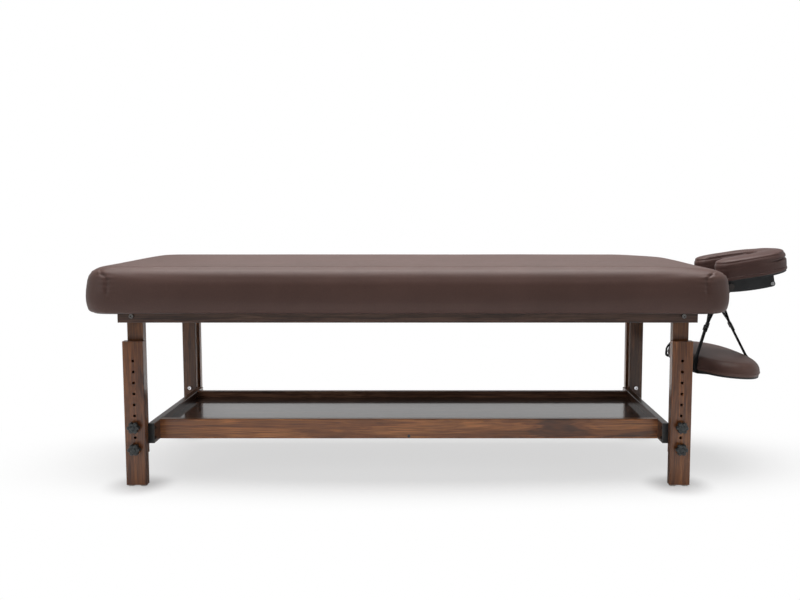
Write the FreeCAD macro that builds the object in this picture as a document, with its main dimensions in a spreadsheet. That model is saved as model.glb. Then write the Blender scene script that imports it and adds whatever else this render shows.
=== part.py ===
# Stationary treatment table with height-setting legs, shelf, face cradle and hanging arm shelf.
# Millimetres. +X points to the head end, -Y to the front, +Z up.
# The origin is on the floor under the middle of the padded top.
import FreeCAD, Part
import math
import os
import re

os.makedirs("parts", exist_ok=True)
doc = FreeCAD.newDocument("treatment_table")
Vector = FreeCAD.Vector
Rotation = FreeCAD.Rotation

# Driving dimensions
DIMENSIONS = {
    # padded top
    "top_height": 650,
    "top_length": 1874,
    "top_width": 706,
    "cushion_thick": 132,
    "corner_radius": 90,
    "top_round": 46,
    "bottom_round": 20,
    "side_bulge": 3,
    "crown": 5,
    "crown_reach": 150,
    "crown_corner": 30,
    "cover_thick": 2.5,
    "soft_gap": 0.3,
    # box inside the top
    "base_panel_thick": 4,
    "deck_end_margin": 47,
    "deck_side_margin": 53,
    "deck_rail_thick": 30,
    "deck_rail_height": 56,
    "deck_board_thick": 10,
    "deck_brace_thick": 22,
    "deck_brace_count": 3,
    "foam_core_thick": 42,
    # leg frame
    "leg_end_inset": 139,
    "leg_width": 60,
    "leg_thick": 24,
    "leg_top_gap": 54,
    "leg_side_inset": 57,
    "post_width": 46,
    "post_thick": 28,
    "post_foot_height": 90,
    "apron_overhang": 42,
    "apron_height": 30,
    "apron_thick": 20,
    "apron_bolt_height": 20,
    "end_apron_thick": 18,
    "wood_ease": 2,
    # height setting
    "hole_count": 9,
    "hole_first": 113,
    "hole_top_margin": 57,
    "hole_radius": 4.3,
    "bolt_radius": 4,
    "bolt_fit": 0.1,
    "bolt_steps": 2,
    "bolt_head_radius": 6.5,
    "bolt_head_height": 8,
    "bolt_socket_radius": 3.4,
    "bolt_socket_depth": 4,
    "knob_gap": 0.3,
    "knob_hub_radius": 10,
    "knob_hub_height": 7,
    "knob_core_radius": 13.5,
    "knob_lobe_radius": 6,
    "knob_lobe_reach": 11.8,
    "knob_lobe_count": 6,
    "knob_head_height": 12,
    "knob_round": 2.5,
    "knob_cap_radius": 9,
    "knob_cap_height": 4,
    "knob_bore_depth": 14,
    # glides
    "glide_radius": 10,
    "glide_thick": 4,
    "glide_spacing": 36,
    # shelf
    "shelf_height": 118,
    "shelf_rail_height": 60,
    "shelf_rail_thick": 20,
    "shelf_side_setback": 40,
    "shelf_rail_setback": 91,
    "shelf_board_thick": 12,
    "shelf_board_lift": 26,
    "shelf_batten_width": 60,
    "shelf_batten_count": 3,
    "shelf_screw_rise": 8,
    "screw_radius": 2.5,
    "screw_head_radius": 4.5,
    "screw_head_height": 3,
    "screw_grip": 22,
    "screw_spacing": 30,
    "screw_inset": 6,
    # face cradle
    "socket_spacing": 140,
    "socket_rise": 34,
    "socket_radius": 10,
    "socket_flange_radius": 15,
    "socket_flange_thick": 3,
    "rod_radius": 8,
    "rod_fit": 0.08,
    "rod_tail": 70,
    "crossbar_gap": 41,
    "crossbar_radius": 14,
    "crossbar_length": 190,
    "pivot_offset": 19,
    "pivot_rise": 20,
    "lug_width": 15,
    "lug_eye_radius": 11,
    "lug_collar_radius": 19,
    "shaft_radius": 5,
    "shaft_cap_radius": 10,
    "shaft_cap_height": 6,
    "arm_thick": 10,
    "arm_gap": 0.4,
    "arm_heel_radius": 17,
    "arm_toe_radius": 9,
    "arm_reach": 130,
    "arm_rise": 10,
    "arm_belly": 3,
    "arm_crest_gap": 1.8,
    "pivot_rod_radius": 4,
    "rivet_radius": 6,
    "rivet_height": 2.5,
    "platform_tilt": 9,
    "platform_rise": 28,
    "platform_thick": 9,
    "platform_inset": 4,
    "cradle_middle_back": 62,
    "cradle_outer": 146,
    "cradle_inner": 52,
    "cradle_leg": 60,
    "cradle_thick": 62,
    "cradle_round": 13,
    "cradle_foot_round": 8,
    "cradle_bulge": 2,
    "cradle_crown": 3,
    "cradle_crown_reach": 20,
    "hook_tape_thick": 1.5,
    "hook_tape_inset": 22,
    "ear_thick": 10,
    "ear_radius": 11,
    "lever_length": 56,
    "lever_width": 15,
    "lever_thick": 9,
    "lever_round": 2,
    "lever_pin_radius": 2.5,
    # hanging arm shelf
    "rest_drop": 245,
    "rest_tilt": 4.7,
    "rest_width": 240,
    "rest_length": 468,
    "rest_oval_power": 2.4,
    "rest_board_thick": 9,
    "rest_board_inset": 3,
    "rest_pad_thick": 40,
    "rest_pad_round": 30,
    "rest_foot_round": 6,
    "rest_bulge": 1.5,
    "rest_crown": 3,
    "rest_crown_reach": 60,
    "strap_width": 25,
    "strap_thick": 2,
    "strap_spacing": 84,
    "strap_foot_spacing": 294,
    "strap_ring_gap": 0.4,
    "strap_pad_gap": 0.8,
    "strap_tuck_length": 42,
    "strap_meet_height": 13,
    "buckle_width": 32,
    "buckle_thick": 8,
    "buckle_from": 0.46,
    "buckle_to": 0.53,
    "buckle_gap": 0.2,
    "buckle_wall": 3,
}

# Sizes that follow from the driving ones
DERIVED = {
    "deck_length": "top_length - 2 * deck_end_margin",
    "deck_width": "top_width - 2 * deck_side_margin",
    "leg_centre": "top_length / 2 - leg_end_inset",
    "leg_face": "top_width / 2 - leg_side_inset",
    "apron_length": "2 * (leg_centre + apron_overhang)",
    "shelf_side_reach": "leg_face - shelf_side_setback",
    "shelf_rail_face": "leg_face - shelf_rail_setback",
    "leg_length": "top_height - cushion_thick - base_panel_thick - apron_height - leg_top_gap - glide_thick",
    "hole_pitch": "(leg_length + glide_thick - hole_first - hole_top_margin) / (hole_count - 1)",
    "socket_height": "top_height - cushion_thick + socket_rise",
}
SIZES = DIMENSIONS | {alias: f"={text}" for alias, text in DERIVED.items()}

sheet = doc.addObject("Spreadsheet::Sheet", "Dims")
for row, (alias, size) in enumerate(SIZES.items(), start=1):
    sheet.set(f"A{row}", alias)
    sheet.set(f"B{row}", str(size))
    sheet.setAlias(f"B{row}", alias)
doc.recompute()
dim = {alias: float(sheet.get(alias)) for alias in SIZES}

PARTS = []
SIDES = {"front": -1, "rear": 1}
ENDS = {"foot": -1, "head": 1}
AXES = {"x": Vector(1, 0, 0), "y": Vector(0, 1, 0), "z": Vector(0, 0, 1)}
AXIS_TURN = {axis: Rotation(AXES["z"], direction) for axis, direction in AXES.items()}
OVERSHOOT = 1
TOUCHING = 1e-6
ARC_SHARES = (0, 0.5, 1)
BOTTOM_TURN = (0, 30, 60, 90)
TOP_TURN = (0, 15, 30, 45, 60, 75, 86)
CROWN_LEFT_HALFWAY = 0.25
OVAL_STEPS = 40
LEVEL = AXES["y"]

# Heights and places that several pieces share, as sheet formulas
DECK_UNDERSIDE = "(top_height - cushion_thick - base_panel_thick)"
CUSHION_BOTTOM = "(top_height - cushion_thick)"
APRON_BOTTOM = f"({DECK_UNDERSIDE} - apron_height)"
POST_FACE = "(leg_face - leg_thick)"
POST_BACK = f"({POST_FACE} - post_thick)"
POST_INNER = "(leg_centre - post_width / 2)"
POST_OUTER = "(leg_centre + post_width / 2)"
SHELF_SPAN = f"({POST_INNER} - shelf_rail_thick)"
APRON_BOLT_HEIGHT = f"({APRON_BOTTOM} + apron_bolt_height)"


def formula(text):
    """Turn a formula in the sheet's words into an expression on the sheet."""
    def on_sheet(match):
        word = match.group()
        return f"Dims.{word}" if word in SIZES else word
    return re.sub(r"[a-z_]+", on_sheet, text)


def bind(item, **formulas):
    """Tie properties of an object to the sheet; double underscores stand for dots."""
    for name, text in formulas.items():
        item.setExpression(name.replace("__", "."), formula(text))


def place(item, x, y, z):
    """Tie an object's position to the sheet."""
    bind(item, Placement__Base__x=x, Placement__Base__y=y, Placement__Base__z=z)


def keep(item, label):
    """Name a finished sub-part and put it on the list that is written out."""
    item.Label = label
    PARTS.append(item)
    return item


def edges_along(shape, direction):
    """Names of the straight edges that run along a direction."""
    names = []
    for number, edge in enumerate(shape.Edges, start=1):
        if abs(edge.tangentAt(edge.FirstParameter).dot(direction)) > 1 - TOUCHING:
            names.append(f"Edge{number}")
    return names


def body_axis(body, role):
    """One of a body's own origin axes."""
    return next(item for item in body.Origin.OriginFeatures if item.Role == role)


def board(label, length, width, height, x, y, z, ease_along=None, ease="wood_ease"):
    """A squared piece, placed by the middle of its underside, with eased edges along one direction."""
    body = doc.addObject("PartDesign::Body", label)
    blank = body.newObject("PartDesign::AdditiveBox", f"{label}_blank")
    bind(blank, Length=length, Width=width, Height=height)
    place(blank, f"-({length}) / 2", f"-({width}) / 2", "0")
    place(body, x, y, z)
    doc.recompute()
    if ease_along:
        eased = body.newObject("PartDesign::Fillet", f"{label}_eased")
        eased.Base = (blank, edges_along(blank.Shape, ease_along))
        bind(eased, Radius=ease)
        doc.recompute()
    return keep(body, label)


def drill(body, name, axis, x, y, z, radius, depth):
    """A round hole in a body, from a point in the body's own frame along one of its axes."""
    before = body.Shape.Volume
    hole = body.newObject("PartDesign::SubtractiveCylinder", name)
    hole.Placement = FreeCAD.Placement(Vector(), AXIS_TURN[axis])
    bind(hole, Radius=radius, Height=depth)
    place(hole, x, y, z)
    doc.recompute()
    if body.Shape.Volume >= before:
        raise RuntimeError(f"{name} cuts nothing")
    return hole


def through_y(body, name, x, z, radius, width):
    """A hole right through a body along Y."""
    start = f"-({width}) / 2 - {OVERSHOOT}"
    return drill(body, name, "y", x, start, z, radius, f"{width} + {2 * OVERSHOOT}")


def feature(label, shape, placement=None):
    """A sub-part whose shape is worked out below from the sheet's sizes."""
    item = doc.addObject("Part::Feature", label)
    item.Shape = shape
    if placement:
        item.Placement = placement
    return keep(item, label)


def group(label, shapes):
    """Identical pieces that share one node."""
    return feature(label, Part.makeCompound(shapes))


def rod_along(axis, start, radius, length):
    """A plain round bar from a point along one axis."""
    direction = AXES[axis] if length > 0 else -AXES[axis]
    return Part.makeCylinder(radius, abs(length), start, direction)


def socket_bolt(axis, seat, away, shank_length):
    """A socket-head bolt: its head stands on the seat, its shank runs the other way."""
    head = rod_along(axis, seat, dim["bolt_head_radius"], away * dim["bolt_head_height"])
    shank = rod_along(axis, seat, dim["bolt_radius"], -away * shank_length)
    mouth = seat + AXES[axis] * (away * dim["bolt_head_height"])
    recess = rod_along(axis, mouth, dim["bolt_socket_radius"], -away * dim["bolt_socket_depth"])
    return head.fuse(shank).cut(recess).removeSplitter()


def screw(axis, seat, away, shank_length):
    """A pan-head wood screw: its head stands on the seat, its shank runs the other way."""
    head = rod_along(axis, seat, dim["screw_head_radius"], away * dim["screw_head_height"])
    shank = rod_along(axis, seat, dim["screw_radius"], -away * shank_length)
    return head.fuse(shank).removeSplitter()


def rounded_outline(half_length, half_width, radius, height):
    """A rectangle with round corners, as one wire of lines and quarter arcs."""
    corners = [(1, 1), (-1, 1), (-1, -1), (1, -1)]
    edges = []
    for turn, (sign_x, sign_y) in enumerate(corners):
        centre = Vector(sign_x * (half_length - radius), sign_y * (half_width - radius), height)
        points = []
        for share in ARC_SHARES:
            angle = math.radians(90 * (turn + share))
            points.append(centre + Vector(math.cos(angle), math.sin(angle), 0) * radius)
        if edges:
            edges.append(Part.LineSegment(last, points[0]).toShape())
        else:
            first = points[0]
        edges.append(Part.Arc(*points).toShape())
        last = points[2]
    edges.append(Part.LineSegment(last, first).toShape())
    return Part.Wire(edges)


def oval_half_width(y):
    """Half the arm shelf's width at a distance along it."""
    power = dim["rest_oval_power"]
    left = 1 - (abs(y) / (dim["rest_length"] / 2)) ** power
    return dim["rest_width"] / 2 * left ** (1 / power)


def oval_outline(inset, height):
    """The arm shelf's oval as one smooth closed wire."""
    half_width = dim["rest_width"] / 2 - inset
    half_length = dim["rest_length"] / 2 - inset
    share = 2 / dim["rest_oval_power"]
    points = []
    for step in range(OVAL_STEPS):
        angle = math.radians(360 * step / OVAL_STEPS)
        x = math.copysign(abs(math.cos(angle)) ** share, math.cos(angle))
        y = math.copysign(abs(math.sin(angle)) ** share, math.sin(angle))
        points.append(Vector(half_width * x, half_length * y, height))
    curve = Part.BSplineCurve()
    curve.interpolate(points, PeriodicFlag=True)
    return Part.Wire([curve.toShape()])


def cushion_profile(thick, top_round, bottom_round, bulge, crown, crown_reach):
    """Pairs of inset and height up the side of a cushion, over its top edge and onto its crown."""
    shoulder = thick - crown
    pairs = []
    for degrees in BOTTOM_TURN:
        angle = math.radians(degrees)
        pairs.append((bulge + bottom_round * (1 - math.sin(angle)), bottom_round * (1 - math.cos(angle))))
    pairs.append((0, (bottom_round + shoulder - top_round) / 2))
    for degrees in TOP_TURN:
        angle = math.radians(degrees)
        inset = bulge + top_round * (1 - math.cos(angle))
        pairs.append((inset, shoulder - top_round * (1 - math.sin(angle))))
    pairs.append((bulge + top_round + crown_reach / 2, thick - crown * CROWN_LEFT_HALFWAY))
    pairs.append((bulge + top_round + crown_reach, thick))
    return pairs


def table_form(shrink):
    """The padded top's crowned form, drawn in all round by the same amount."""
    half_length = dim["top_length"] / 2
    half_width = dim["top_width"] / 2
    profile = cushion_profile(
        dim["cushion_thick"] - shrink, dim["top_round"], dim["bottom_round"],
        dim["side_bulge"], dim["crown"], dim["crown_reach"],
    )
    wires = []
    for inset, height in profile:
        drawn_in = inset + shrink
        radius = max(dim["corner_radius"] - drawn_in, dim["crown_corner"])
        wires.append(rounded_outline(half_length - drawn_in, half_width - drawn_in, radius, height))
    return Part.makeLoft(wires, True, True)


def horseshoe_outline(inset, height):
    """The cradle's horseshoe, open towards the table, as one wire of lines and quarter arcs."""
    outer = dim["cradle_outer"] - inset
    inner = dim["cradle_inner"] + inset
    leg = -dim["cradle_leg"]
    tip = (outer - inner) / 2
    middle = (outer + inner) / 2

    def arc(centre, radius, start, sweep):
        points = []
        for share in ARC_SHARES:
            angle = math.radians(start + sweep * share)
            points.append(centre + Vector(math.cos(angle), math.sin(angle), 0) * radius)
        return Part.Arc(*points).toShape()

    def line(x_from, y_from, x_to, y_to):
        return Part.LineSegment(Vector(x_from, y_from, height), Vector(x_to, y_to, height)).toShape()

    round_end = Vector(0, 0, height)
    rear_tip = Vector(leg, middle, height)
    front_tip = Vector(leg, -middle, height)
    edges = [
        arc(round_end, outer, -90, 90),
        arc(round_end, outer, 0, 90),
        line(0, outer, leg, outer),
        arc(rear_tip, tip, 90, 90),
        arc(rear_tip, tip, 180, 90),
        line(leg, inner, 0, inner),
        arc(round_end, inner, 90, -90),
        arc(round_end, inner, 0, -90),
        line(0, -inner, leg, -inner),
        arc(front_tip, tip, 90, 90),
        arc(front_tip, tip, 180, 90),
        line(leg, -outer, 0, -outer),
    ]
    return Part.Wire(edges)


def plate_of(wire, thick):
    """A flat plate standing on an outline."""
    return Part.Face(wire).extrude(Vector(0, 0, thick))


def socket_holes(shape):
    """Cut the two cradle socket holes through the head end of a soft layer."""
    start = dim["deck_length"] / 2 - dim["deck_rail_thick"] - OVERSHOOT
    for sign_y in SIDES.values():
        seat = Vector(start, sign_y * dim["socket_spacing"] / 2, dim["socket_rise"])
        hole = rod_along("x", seat, dim["socket_radius"] + dim["soft_gap"], dim["top_length"])
        shape = shape.cut(hole)
    return shape


# Leg frame: posts, aprons and their bolts
for end, sign_x in ENDS.items():
    for side, sign_y in SIDES.items():
        post = board(
            f"post_{end}_{side}", "post_width", "post_thick", f"{DECK_UNDERSIDE} - post_foot_height",
            f"{sign_x} * leg_centre", f"{sign_y} * ({POST_FACE} + {POST_BACK}) / 2", "post_foot_height",
            AXES["z"],
        )
        hole_heights = {
            "lower": "hole_first - post_foot_height",
            "upper": "hole_first + bolt_steps * hole_pitch - post_foot_height",
            "apron": f"{APRON_BOLT_HEIGHT} - post_foot_height",
        }
        for name, height in hole_heights.items():
            through_y(
                post, f"{post.Name}_{name}_hole", "0", height,
                "bolt_radius + bolt_fit", "post_thick",
            )

for side, sign_y in SIDES.items():
    apron = board(
        f"apron_{side}", "apron_length", "apron_thick", "apron_height",
        "0", f"{sign_y} * ({POST_FACE} + apron_thick / 2)", APRON_BOTTOM,
        AXES["x"],
    )
    for end, sign_x in ENDS.items():
        through_y(
            apron, f"{apron.Name}_{end}_hole", f"{sign_x} * leg_centre",
            f"{APRON_BOLT_HEIGHT} - {APRON_BOTTOM}", "bolt_radius + bolt_fit", "apron_thick",
        )
for end, sign_x in ENDS.items():
    board(
        f"apron_{end}", "end_apron_thick", f"2 * {POST_FACE}", "apron_height",
        f"{sign_x} * ({POST_OUTER} + end_apron_thick / 2)", "0", APRON_BOTTOM,
        AXES["y"],
    )

deck_underside = dim["top_height"] - dim["cushion_thick"] - dim["base_panel_thick"]
apron_bottom = deck_underside - dim["apron_height"]
post_face = dim["leg_face"] - dim["leg_thick"]
post_back = post_face - dim["post_thick"]
apron_bolts = []
leg_bolts = []
for sign_x in ENDS.values():
    for sign_y in SIDES.values():
        bolt_height = apron_bottom + dim["apron_bolt_height"]
        apron_seat = Vector(
            sign_x * dim["leg_centre"], sign_y * (post_face + dim["apron_thick"]), bolt_height
        )
        apron_grip = dim["apron_thick"] + dim["post_thick"]
        apron_bolts.append(socket_bolt("y", apron_seat, sign_y, apron_grip))
        for step in (0, dim["bolt_steps"]):
            seat = Vector(
                sign_x * dim["leg_centre"], sign_y * post_back,
                dim["hole_first"] + step * dim["hole_pitch"],
            )
            grip = dim["post_thick"] + dim["leg_thick"] + dim["knob_gap"]
            leg_bolts.append(socket_bolt("y", seat, -sign_y, grip + dim["knob_bore_depth"] - OVERSHOOT))
group("apron_bolts", apron_bolts)
group("leg_bolts", leg_bolts)

# Height-setting legs with their glides and star knobs
for end, sign_x in ENDS.items():
    for side, sign_y in SIDES.items():
        leg = board(
            f"leg_{end}_{side}", "leg_width", "leg_thick", "leg_length",
            f"{sign_x} * leg_centre", f"{sign_y} * (leg_face - leg_thick / 2)", "glide_thick",
            AXES["z"],
        )
        first = through_y(
            leg, f"{leg.Name}_first_hole", "0", "hole_first - glide_thick",
            "hole_radius", "leg_thick",
        )
        row_of_holes = leg.newObject("PartDesign::LinearPattern", f"{leg.Name}_holes")
        row_of_holes.Originals = [first]
        row_of_holes.Direction = (body_axis(leg, "Z_Axis"), [""])
        bind(row_of_holes, Length="hole_pitch * (hole_count - 1)", Occurrences="hole_count")
        leg.Tip = row_of_holes

        glides = []
        for share in (-0.5, 0.5):
            foot = Vector(
                sign_x * dim["leg_centre"] + share * dim["glide_spacing"],
                sign_y * (dim["leg_face"] - dim["leg_thick"] / 2), 0,
            )
            glides.append(rod_along("z", foot, dim["glide_radius"], dim["glide_thick"]))
        group(f"glides_{end}_{side}", glides)


def star_knob(label, x, y, z, turn):
    """A lobed knob with a hub, a capped head and a blind bore, its axis along its own Z."""
    body = doc.addObject("PartDesign::Body", label)
    body.Placement = FreeCAD.Placement(Vector(), turn)
    place(body, x, y, z)
    hub = body.newObject("PartDesign::AdditiveCylinder", f"{label}_hub")
    bind(hub, Radius="knob_hub_radius", Height="knob_hub_height")
    core = body.newObject("PartDesign::AdditiveCylinder", f"{label}_core")
    bind(core, Radius="knob_core_radius", Height="knob_head_height", Placement__Base__z="knob_hub_height")
    lobe = body.newObject("PartDesign::AdditiveCylinder", f"{label}_lobe")
    bind(lobe, Radius="knob_lobe_radius", Height="knob_head_height")
    place(lobe, "knob_lobe_reach", "0", "knob_hub_height")
    doc.recompute()
    lobes = body.newObject("PartDesign::PolarPattern", f"{label}_lobes")
    lobes.Originals = [lobe]
    lobes.Axis = (body_axis(body, "Z_Axis"), [""])
    lobes.Angle = 360
    bind(lobes, Occurrences="knob_lobe_count")
    body.Tip = lobes
    doc.recompute()
    head_top = lobes.Shape.BoundBox.ZMax
    rim = []
    for number, edge in enumerate(lobes.Shape.Edges, start=1):
        if abs(edge.BoundBox.ZMin - head_top) < TOUCHING:
            rim.append(f"Edge{number}")
    rounded = body.newObject("PartDesign::Fillet", f"{label}_round")
    rounded.Base = (lobes, rim)
    bind(rounded, Radius="knob_round")
    body.Tip = rounded
    cap = body.newObject("PartDesign::AdditiveCone", f"{label}_cap")
    bind(
        cap, Radius1="knob_cap_radius", Radius2="knob_cap_radius - knob_cap_height",
        Height="knob_cap_height", Placement__Base__z="knob_hub_height + knob_head_height",
    )
    doc.recompute()
    drill(
        body, f"{label}_bore", "z", "0", "0", "0",
        "bolt_radius + bolt_fit", "knob_bore_depth",
    )
    return keep(body, label)


for end, sign_x in ENDS.items():
    for side, sign_y in SIDES.items():
        for level, steps in {"lower": "0", "upper": "bolt_steps"}.items():
            star_knob(
                f"knob_{end}_{side}_{level}", f"{sign_x} * leg_centre",
                f"{sign_y} * (leg_face + knob_gap)", f"hole_first + {steps} * hole_pitch",
                Rotation(AXES["x"], -90 * sign_y),
            )

# Storage shelf between the posts
for end, sign_x in ENDS.items():
    board(
        f"shelf_side_rail_{end}", "shelf_rail_thick", "2 * shelf_side_reach", "shelf_rail_height",
        f"{sign_x} * ({POST_INNER} - shelf_rail_thick / 2)", "0", "shelf_height",
        AXES["y"],
    )
for side, sign_y in SIDES.items():
    board(
        f"shelf_rail_{side}", f"2 * {SHELF_SPAN}", "shelf_rail_thick", "shelf_rail_height",
        "0", f"{sign_y} * (shelf_rail_face - shelf_rail_thick / 2)", "shelf_height",
        AXES["x"],
    )
board(
    "shelf_board", f"2 * {SHELF_SPAN}", "2 * (shelf_rail_face - shelf_rail_thick)", "shelf_board_thick",
    "0", "0", "shelf_height + shelf_board_lift",
)
by_label = {item.Label: item for item in PARTS}
for side in SIDES:
    through_y(
        by_label[f"shelf_rail_{side}"], f"shelf_rail_{side}_screw_hole", "0",
        "shelf_screw_rise", "screw_radius + bolt_fit", "shelf_rail_thick",
    )

batten_count = int(dim["shelf_batten_count"])
batten_reach = dim["shelf_rail_face"] - dim["shelf_rail_thick"]
shelf_span = 2 * (dim["leg_centre"] - dim["post_width"] / 2 - dim["shelf_rail_thick"])
shelf_screws = []
battens = []
for number in range(1, batten_count + 1):
    middle = shelf_span * (number / (batten_count + 1) - 0.5)
    corner = Vector(middle - dim["shelf_batten_width"] / 2, -batten_reach, dim["shelf_height"])
    battens.append(Part.makeBox(
        dim["shelf_batten_width"], 2 * batten_reach, dim["shelf_board_lift"], corner
    ))
shelf_middle = dim["shelf_height"] + dim["shelf_rail_height"] / 2
post_inner = dim["leg_centre"] - dim["post_width"] / 2
rail_grip = dim["shelf_rail_thick"] + dim["screw_grip"]
for side, sign_y in SIDES.items():
    seat = Vector(0, sign_y * dim["shelf_rail_face"], dim["shelf_height"] + dim["shelf_screw_rise"])
    screw_way = rod_along("y", seat, dim["screw_radius"] + dim["bolt_fit"], -sign_y * rail_grip)
    battens = [batten.cut(screw_way) for batten in battens]
    shelf_screws.append(screw("y", seat, sign_y, rail_grip))
    for end, sign_x in ENDS.items():
        for level, share in {"low": -0.5, "high": 0.5}.items():
            height = f"shelf_rail_height / 2 + {share} * screw_spacing"
            depth = f"shelf_rail_thick + {2 * OVERSHOOT}"
            start = f"-shelf_rail_thick / 2 - {OVERSHOOT}"
            side_rail = by_label[f"shelf_side_rail_{end}"]
            post = by_label[f"post_{end}_{side}"]
            cross_rail = by_label[f"shelf_rail_{side}"]
            post_y = f"{sign_y} * ({POST_BACK} + screw_inset)"
            rail_y = f"{sign_y} * (shelf_rail_face - shelf_rail_thick / 2)"
            for name, place_y in {"post": post_y, "rail": rail_y}.items():
                drill(
                    side_rail, f"{side_rail.Name}_{side}_{name}_{level}", "x", start, place_y, height,
                    "screw_radius + bolt_fit", depth,
                )
            drill(
                post, f"{post.Name}_shelf_{level}", "x",
                f"{-sign_x} * (post_width / 2 - screw_grip / 2) - screw_grip / 2",
                f"{sign_y} * (screw_inset - post_thick / 2)",
                f"shelf_height - post_foot_height + {height}", "screw_radius + bolt_fit", "screw_grip",
            )
            drill(
                cross_rail, f"{cross_rail.Name}_{end}_{level}", "x",
                f"{sign_x} * ({SHELF_SPAN} - screw_grip / 2) - screw_grip / 2",
                "0", height, "screw_radius + bolt_fit", "screw_grip",
            )
            level_z = shelf_middle + share * dim["screw_spacing"]
            post_seat = Vector(
                sign_x * (post_inner - dim["shelf_rail_thick"]),
                sign_y * (post_back + dim["screw_inset"]), level_z,
            )
            shelf_screws.append(screw("x", post_seat, -sign_x, rail_grip))
            rail_seat = Vector(
                sign_x * post_inner,
                sign_y * (dim["shelf_rail_face"] - dim["shelf_rail_thick"] / 2), level_z,
            )
            shelf_screws.append(screw("x", rail_seat, sign_x, rail_grip))
group("shelf_battens", battens)
group("shelf_screws", shelf_screws)

# Box inside the padded top
board(
    "base_panel", "top_length - 2 * (side_bulge + bottom_round)",
    "top_width - 2 * (side_bulge + bottom_round)", "base_panel_thick",
    "0", "0", DECK_UNDERSIDE,
    AXES["z"], "corner_radius - side_bulge - bottom_round",
)
for side, sign_y in SIDES.items():
    board(
        f"deck_rail_{side}", "deck_length", "deck_rail_thick", "deck_rail_height",
        "0", f"{sign_y} * (deck_width - deck_rail_thick) / 2", CUSHION_BOTTOM,
    )
for end, sign_x in ENDS.items():
    deck_rail = board(
        f"deck_rail_{end}", "deck_rail_thick", "deck_width - 2 * deck_rail_thick", "deck_rail_height",
        f"{sign_x} * (deck_length - deck_rail_thick) / 2", "0", CUSHION_BOTTOM,
    )
    if end == "head":
        for side, sign_y in SIDES.items():
            drill(
                deck_rail, f"deck_rail_socket_{side}", "x", f"-deck_rail_thick / 2 - {OVERSHOOT}",
                f"{sign_y} * socket_spacing / 2", "socket_rise",
                "socket_radius + bolt_fit", f"deck_rail_thick + {2 * OVERSHOOT}",
            )
cushion_bottom = dim["top_height"] - dim["cushion_thick"]
brace_length = dim["deck_width"] - 2 * dim["deck_rail_thick"]
brace_count = int(dim["deck_brace_count"])
braces = []
for number in range(1, brace_count + 1):
    middle = dim["deck_length"] * (number / (brace_count + 1) - 0.5)
    corner = Vector(middle - dim["deck_brace_thick"] / 2, -brace_length / 2, cushion_bottom)
    braces.append(Part.makeBox(dim["deck_brace_thick"], brace_length, dim["deck_rail_height"], corner))
group("deck_cross_braces", braces)
board(
    "deck_board", "deck_length", "deck_width", "deck_board_thick",
    "0", "0", f"{CUSHION_BOTTOM} + deck_rail_height",
)
board(
    "foam_core", "deck_length", "deck_width", "foam_core_thick",
    "0", "0", f"{CUSHION_BOTTOM} + deck_rail_height + deck_board_thick",
)

# Padding and cover of the top, open below where the base panel closes them
cushion_place = FreeCAD.Placement(Vector(0, 0, cushion_bottom), Rotation())
core_height = dim["deck_rail_height"] + dim["deck_board_thick"] + dim["foam_core_thick"] + dim["soft_gap"]
hollow_length = dim["deck_length"] + 2 * dim["soft_gap"]
hollow_width = dim["deck_width"] + 2 * dim["soft_gap"]
hollow = Part.makeBox(
    hollow_length, hollow_width, core_height, Vector(-hollow_length / 2, -hollow_width / 2, 0)
)
padding = table_form(dim["cover_thick"] + dim["soft_gap"]).cut(hollow)
feature("top_padding", socket_holes(padding), cushion_place)
cover = table_form(0).cut(table_form(dim["cover_thick"]))
feature("top_cover", socket_holes(cover), cushion_place)

# Face cradle: sockets, rods, crossbar and the lugs on it
socket_back = dim["deck_length"] / 2 - dim["deck_rail_thick"]
socket_face = dim["top_length"] / 2 + dim["soft_gap"]
bar_x = socket_face + dim["socket_flange_thick"] + dim["crossbar_gap"]
bar_z = dim["socket_height"]
sockets = []
rods = []
crossbar = rod_along(
    "y", Vector(bar_x, -dim["crossbar_length"] / 2, bar_z), dim["crossbar_radius"], dim["crossbar_length"]
)
for sign_y in SIDES.values():
    rod_y = sign_y * dim["socket_spacing"] / 2
    back = Vector(socket_back, rod_y, bar_z)
    tube = rod_along("x", back, dim["socket_radius"], socket_face - socket_back)
    flange = rod_along(
        "x", Vector(socket_face, rod_y, bar_z), dim["socket_flange_radius"], dim["socket_flange_thick"]
    )
    bore = rod_along("x", back, dim["rod_radius"] + dim["rod_fit"], bar_x - socket_back)
    sockets.append(tube.fuse(flange).cut(bore).removeSplitter())
    tail = Vector(socket_back - dim["rod_tail"], rod_y, bar_z)
    rods.append(rod_along("x", tail, dim["rod_radius"], bar_x - tail.x))
    crossbar = crossbar.cut(rod_along("x", tail, dim["rod_radius"] + dim["bolt_fit"], bar_x - tail.x))
group("cradle_sockets", sockets)
group("cradle_rods", rods)
feature("cradle_crossbar", crossbar)

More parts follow.
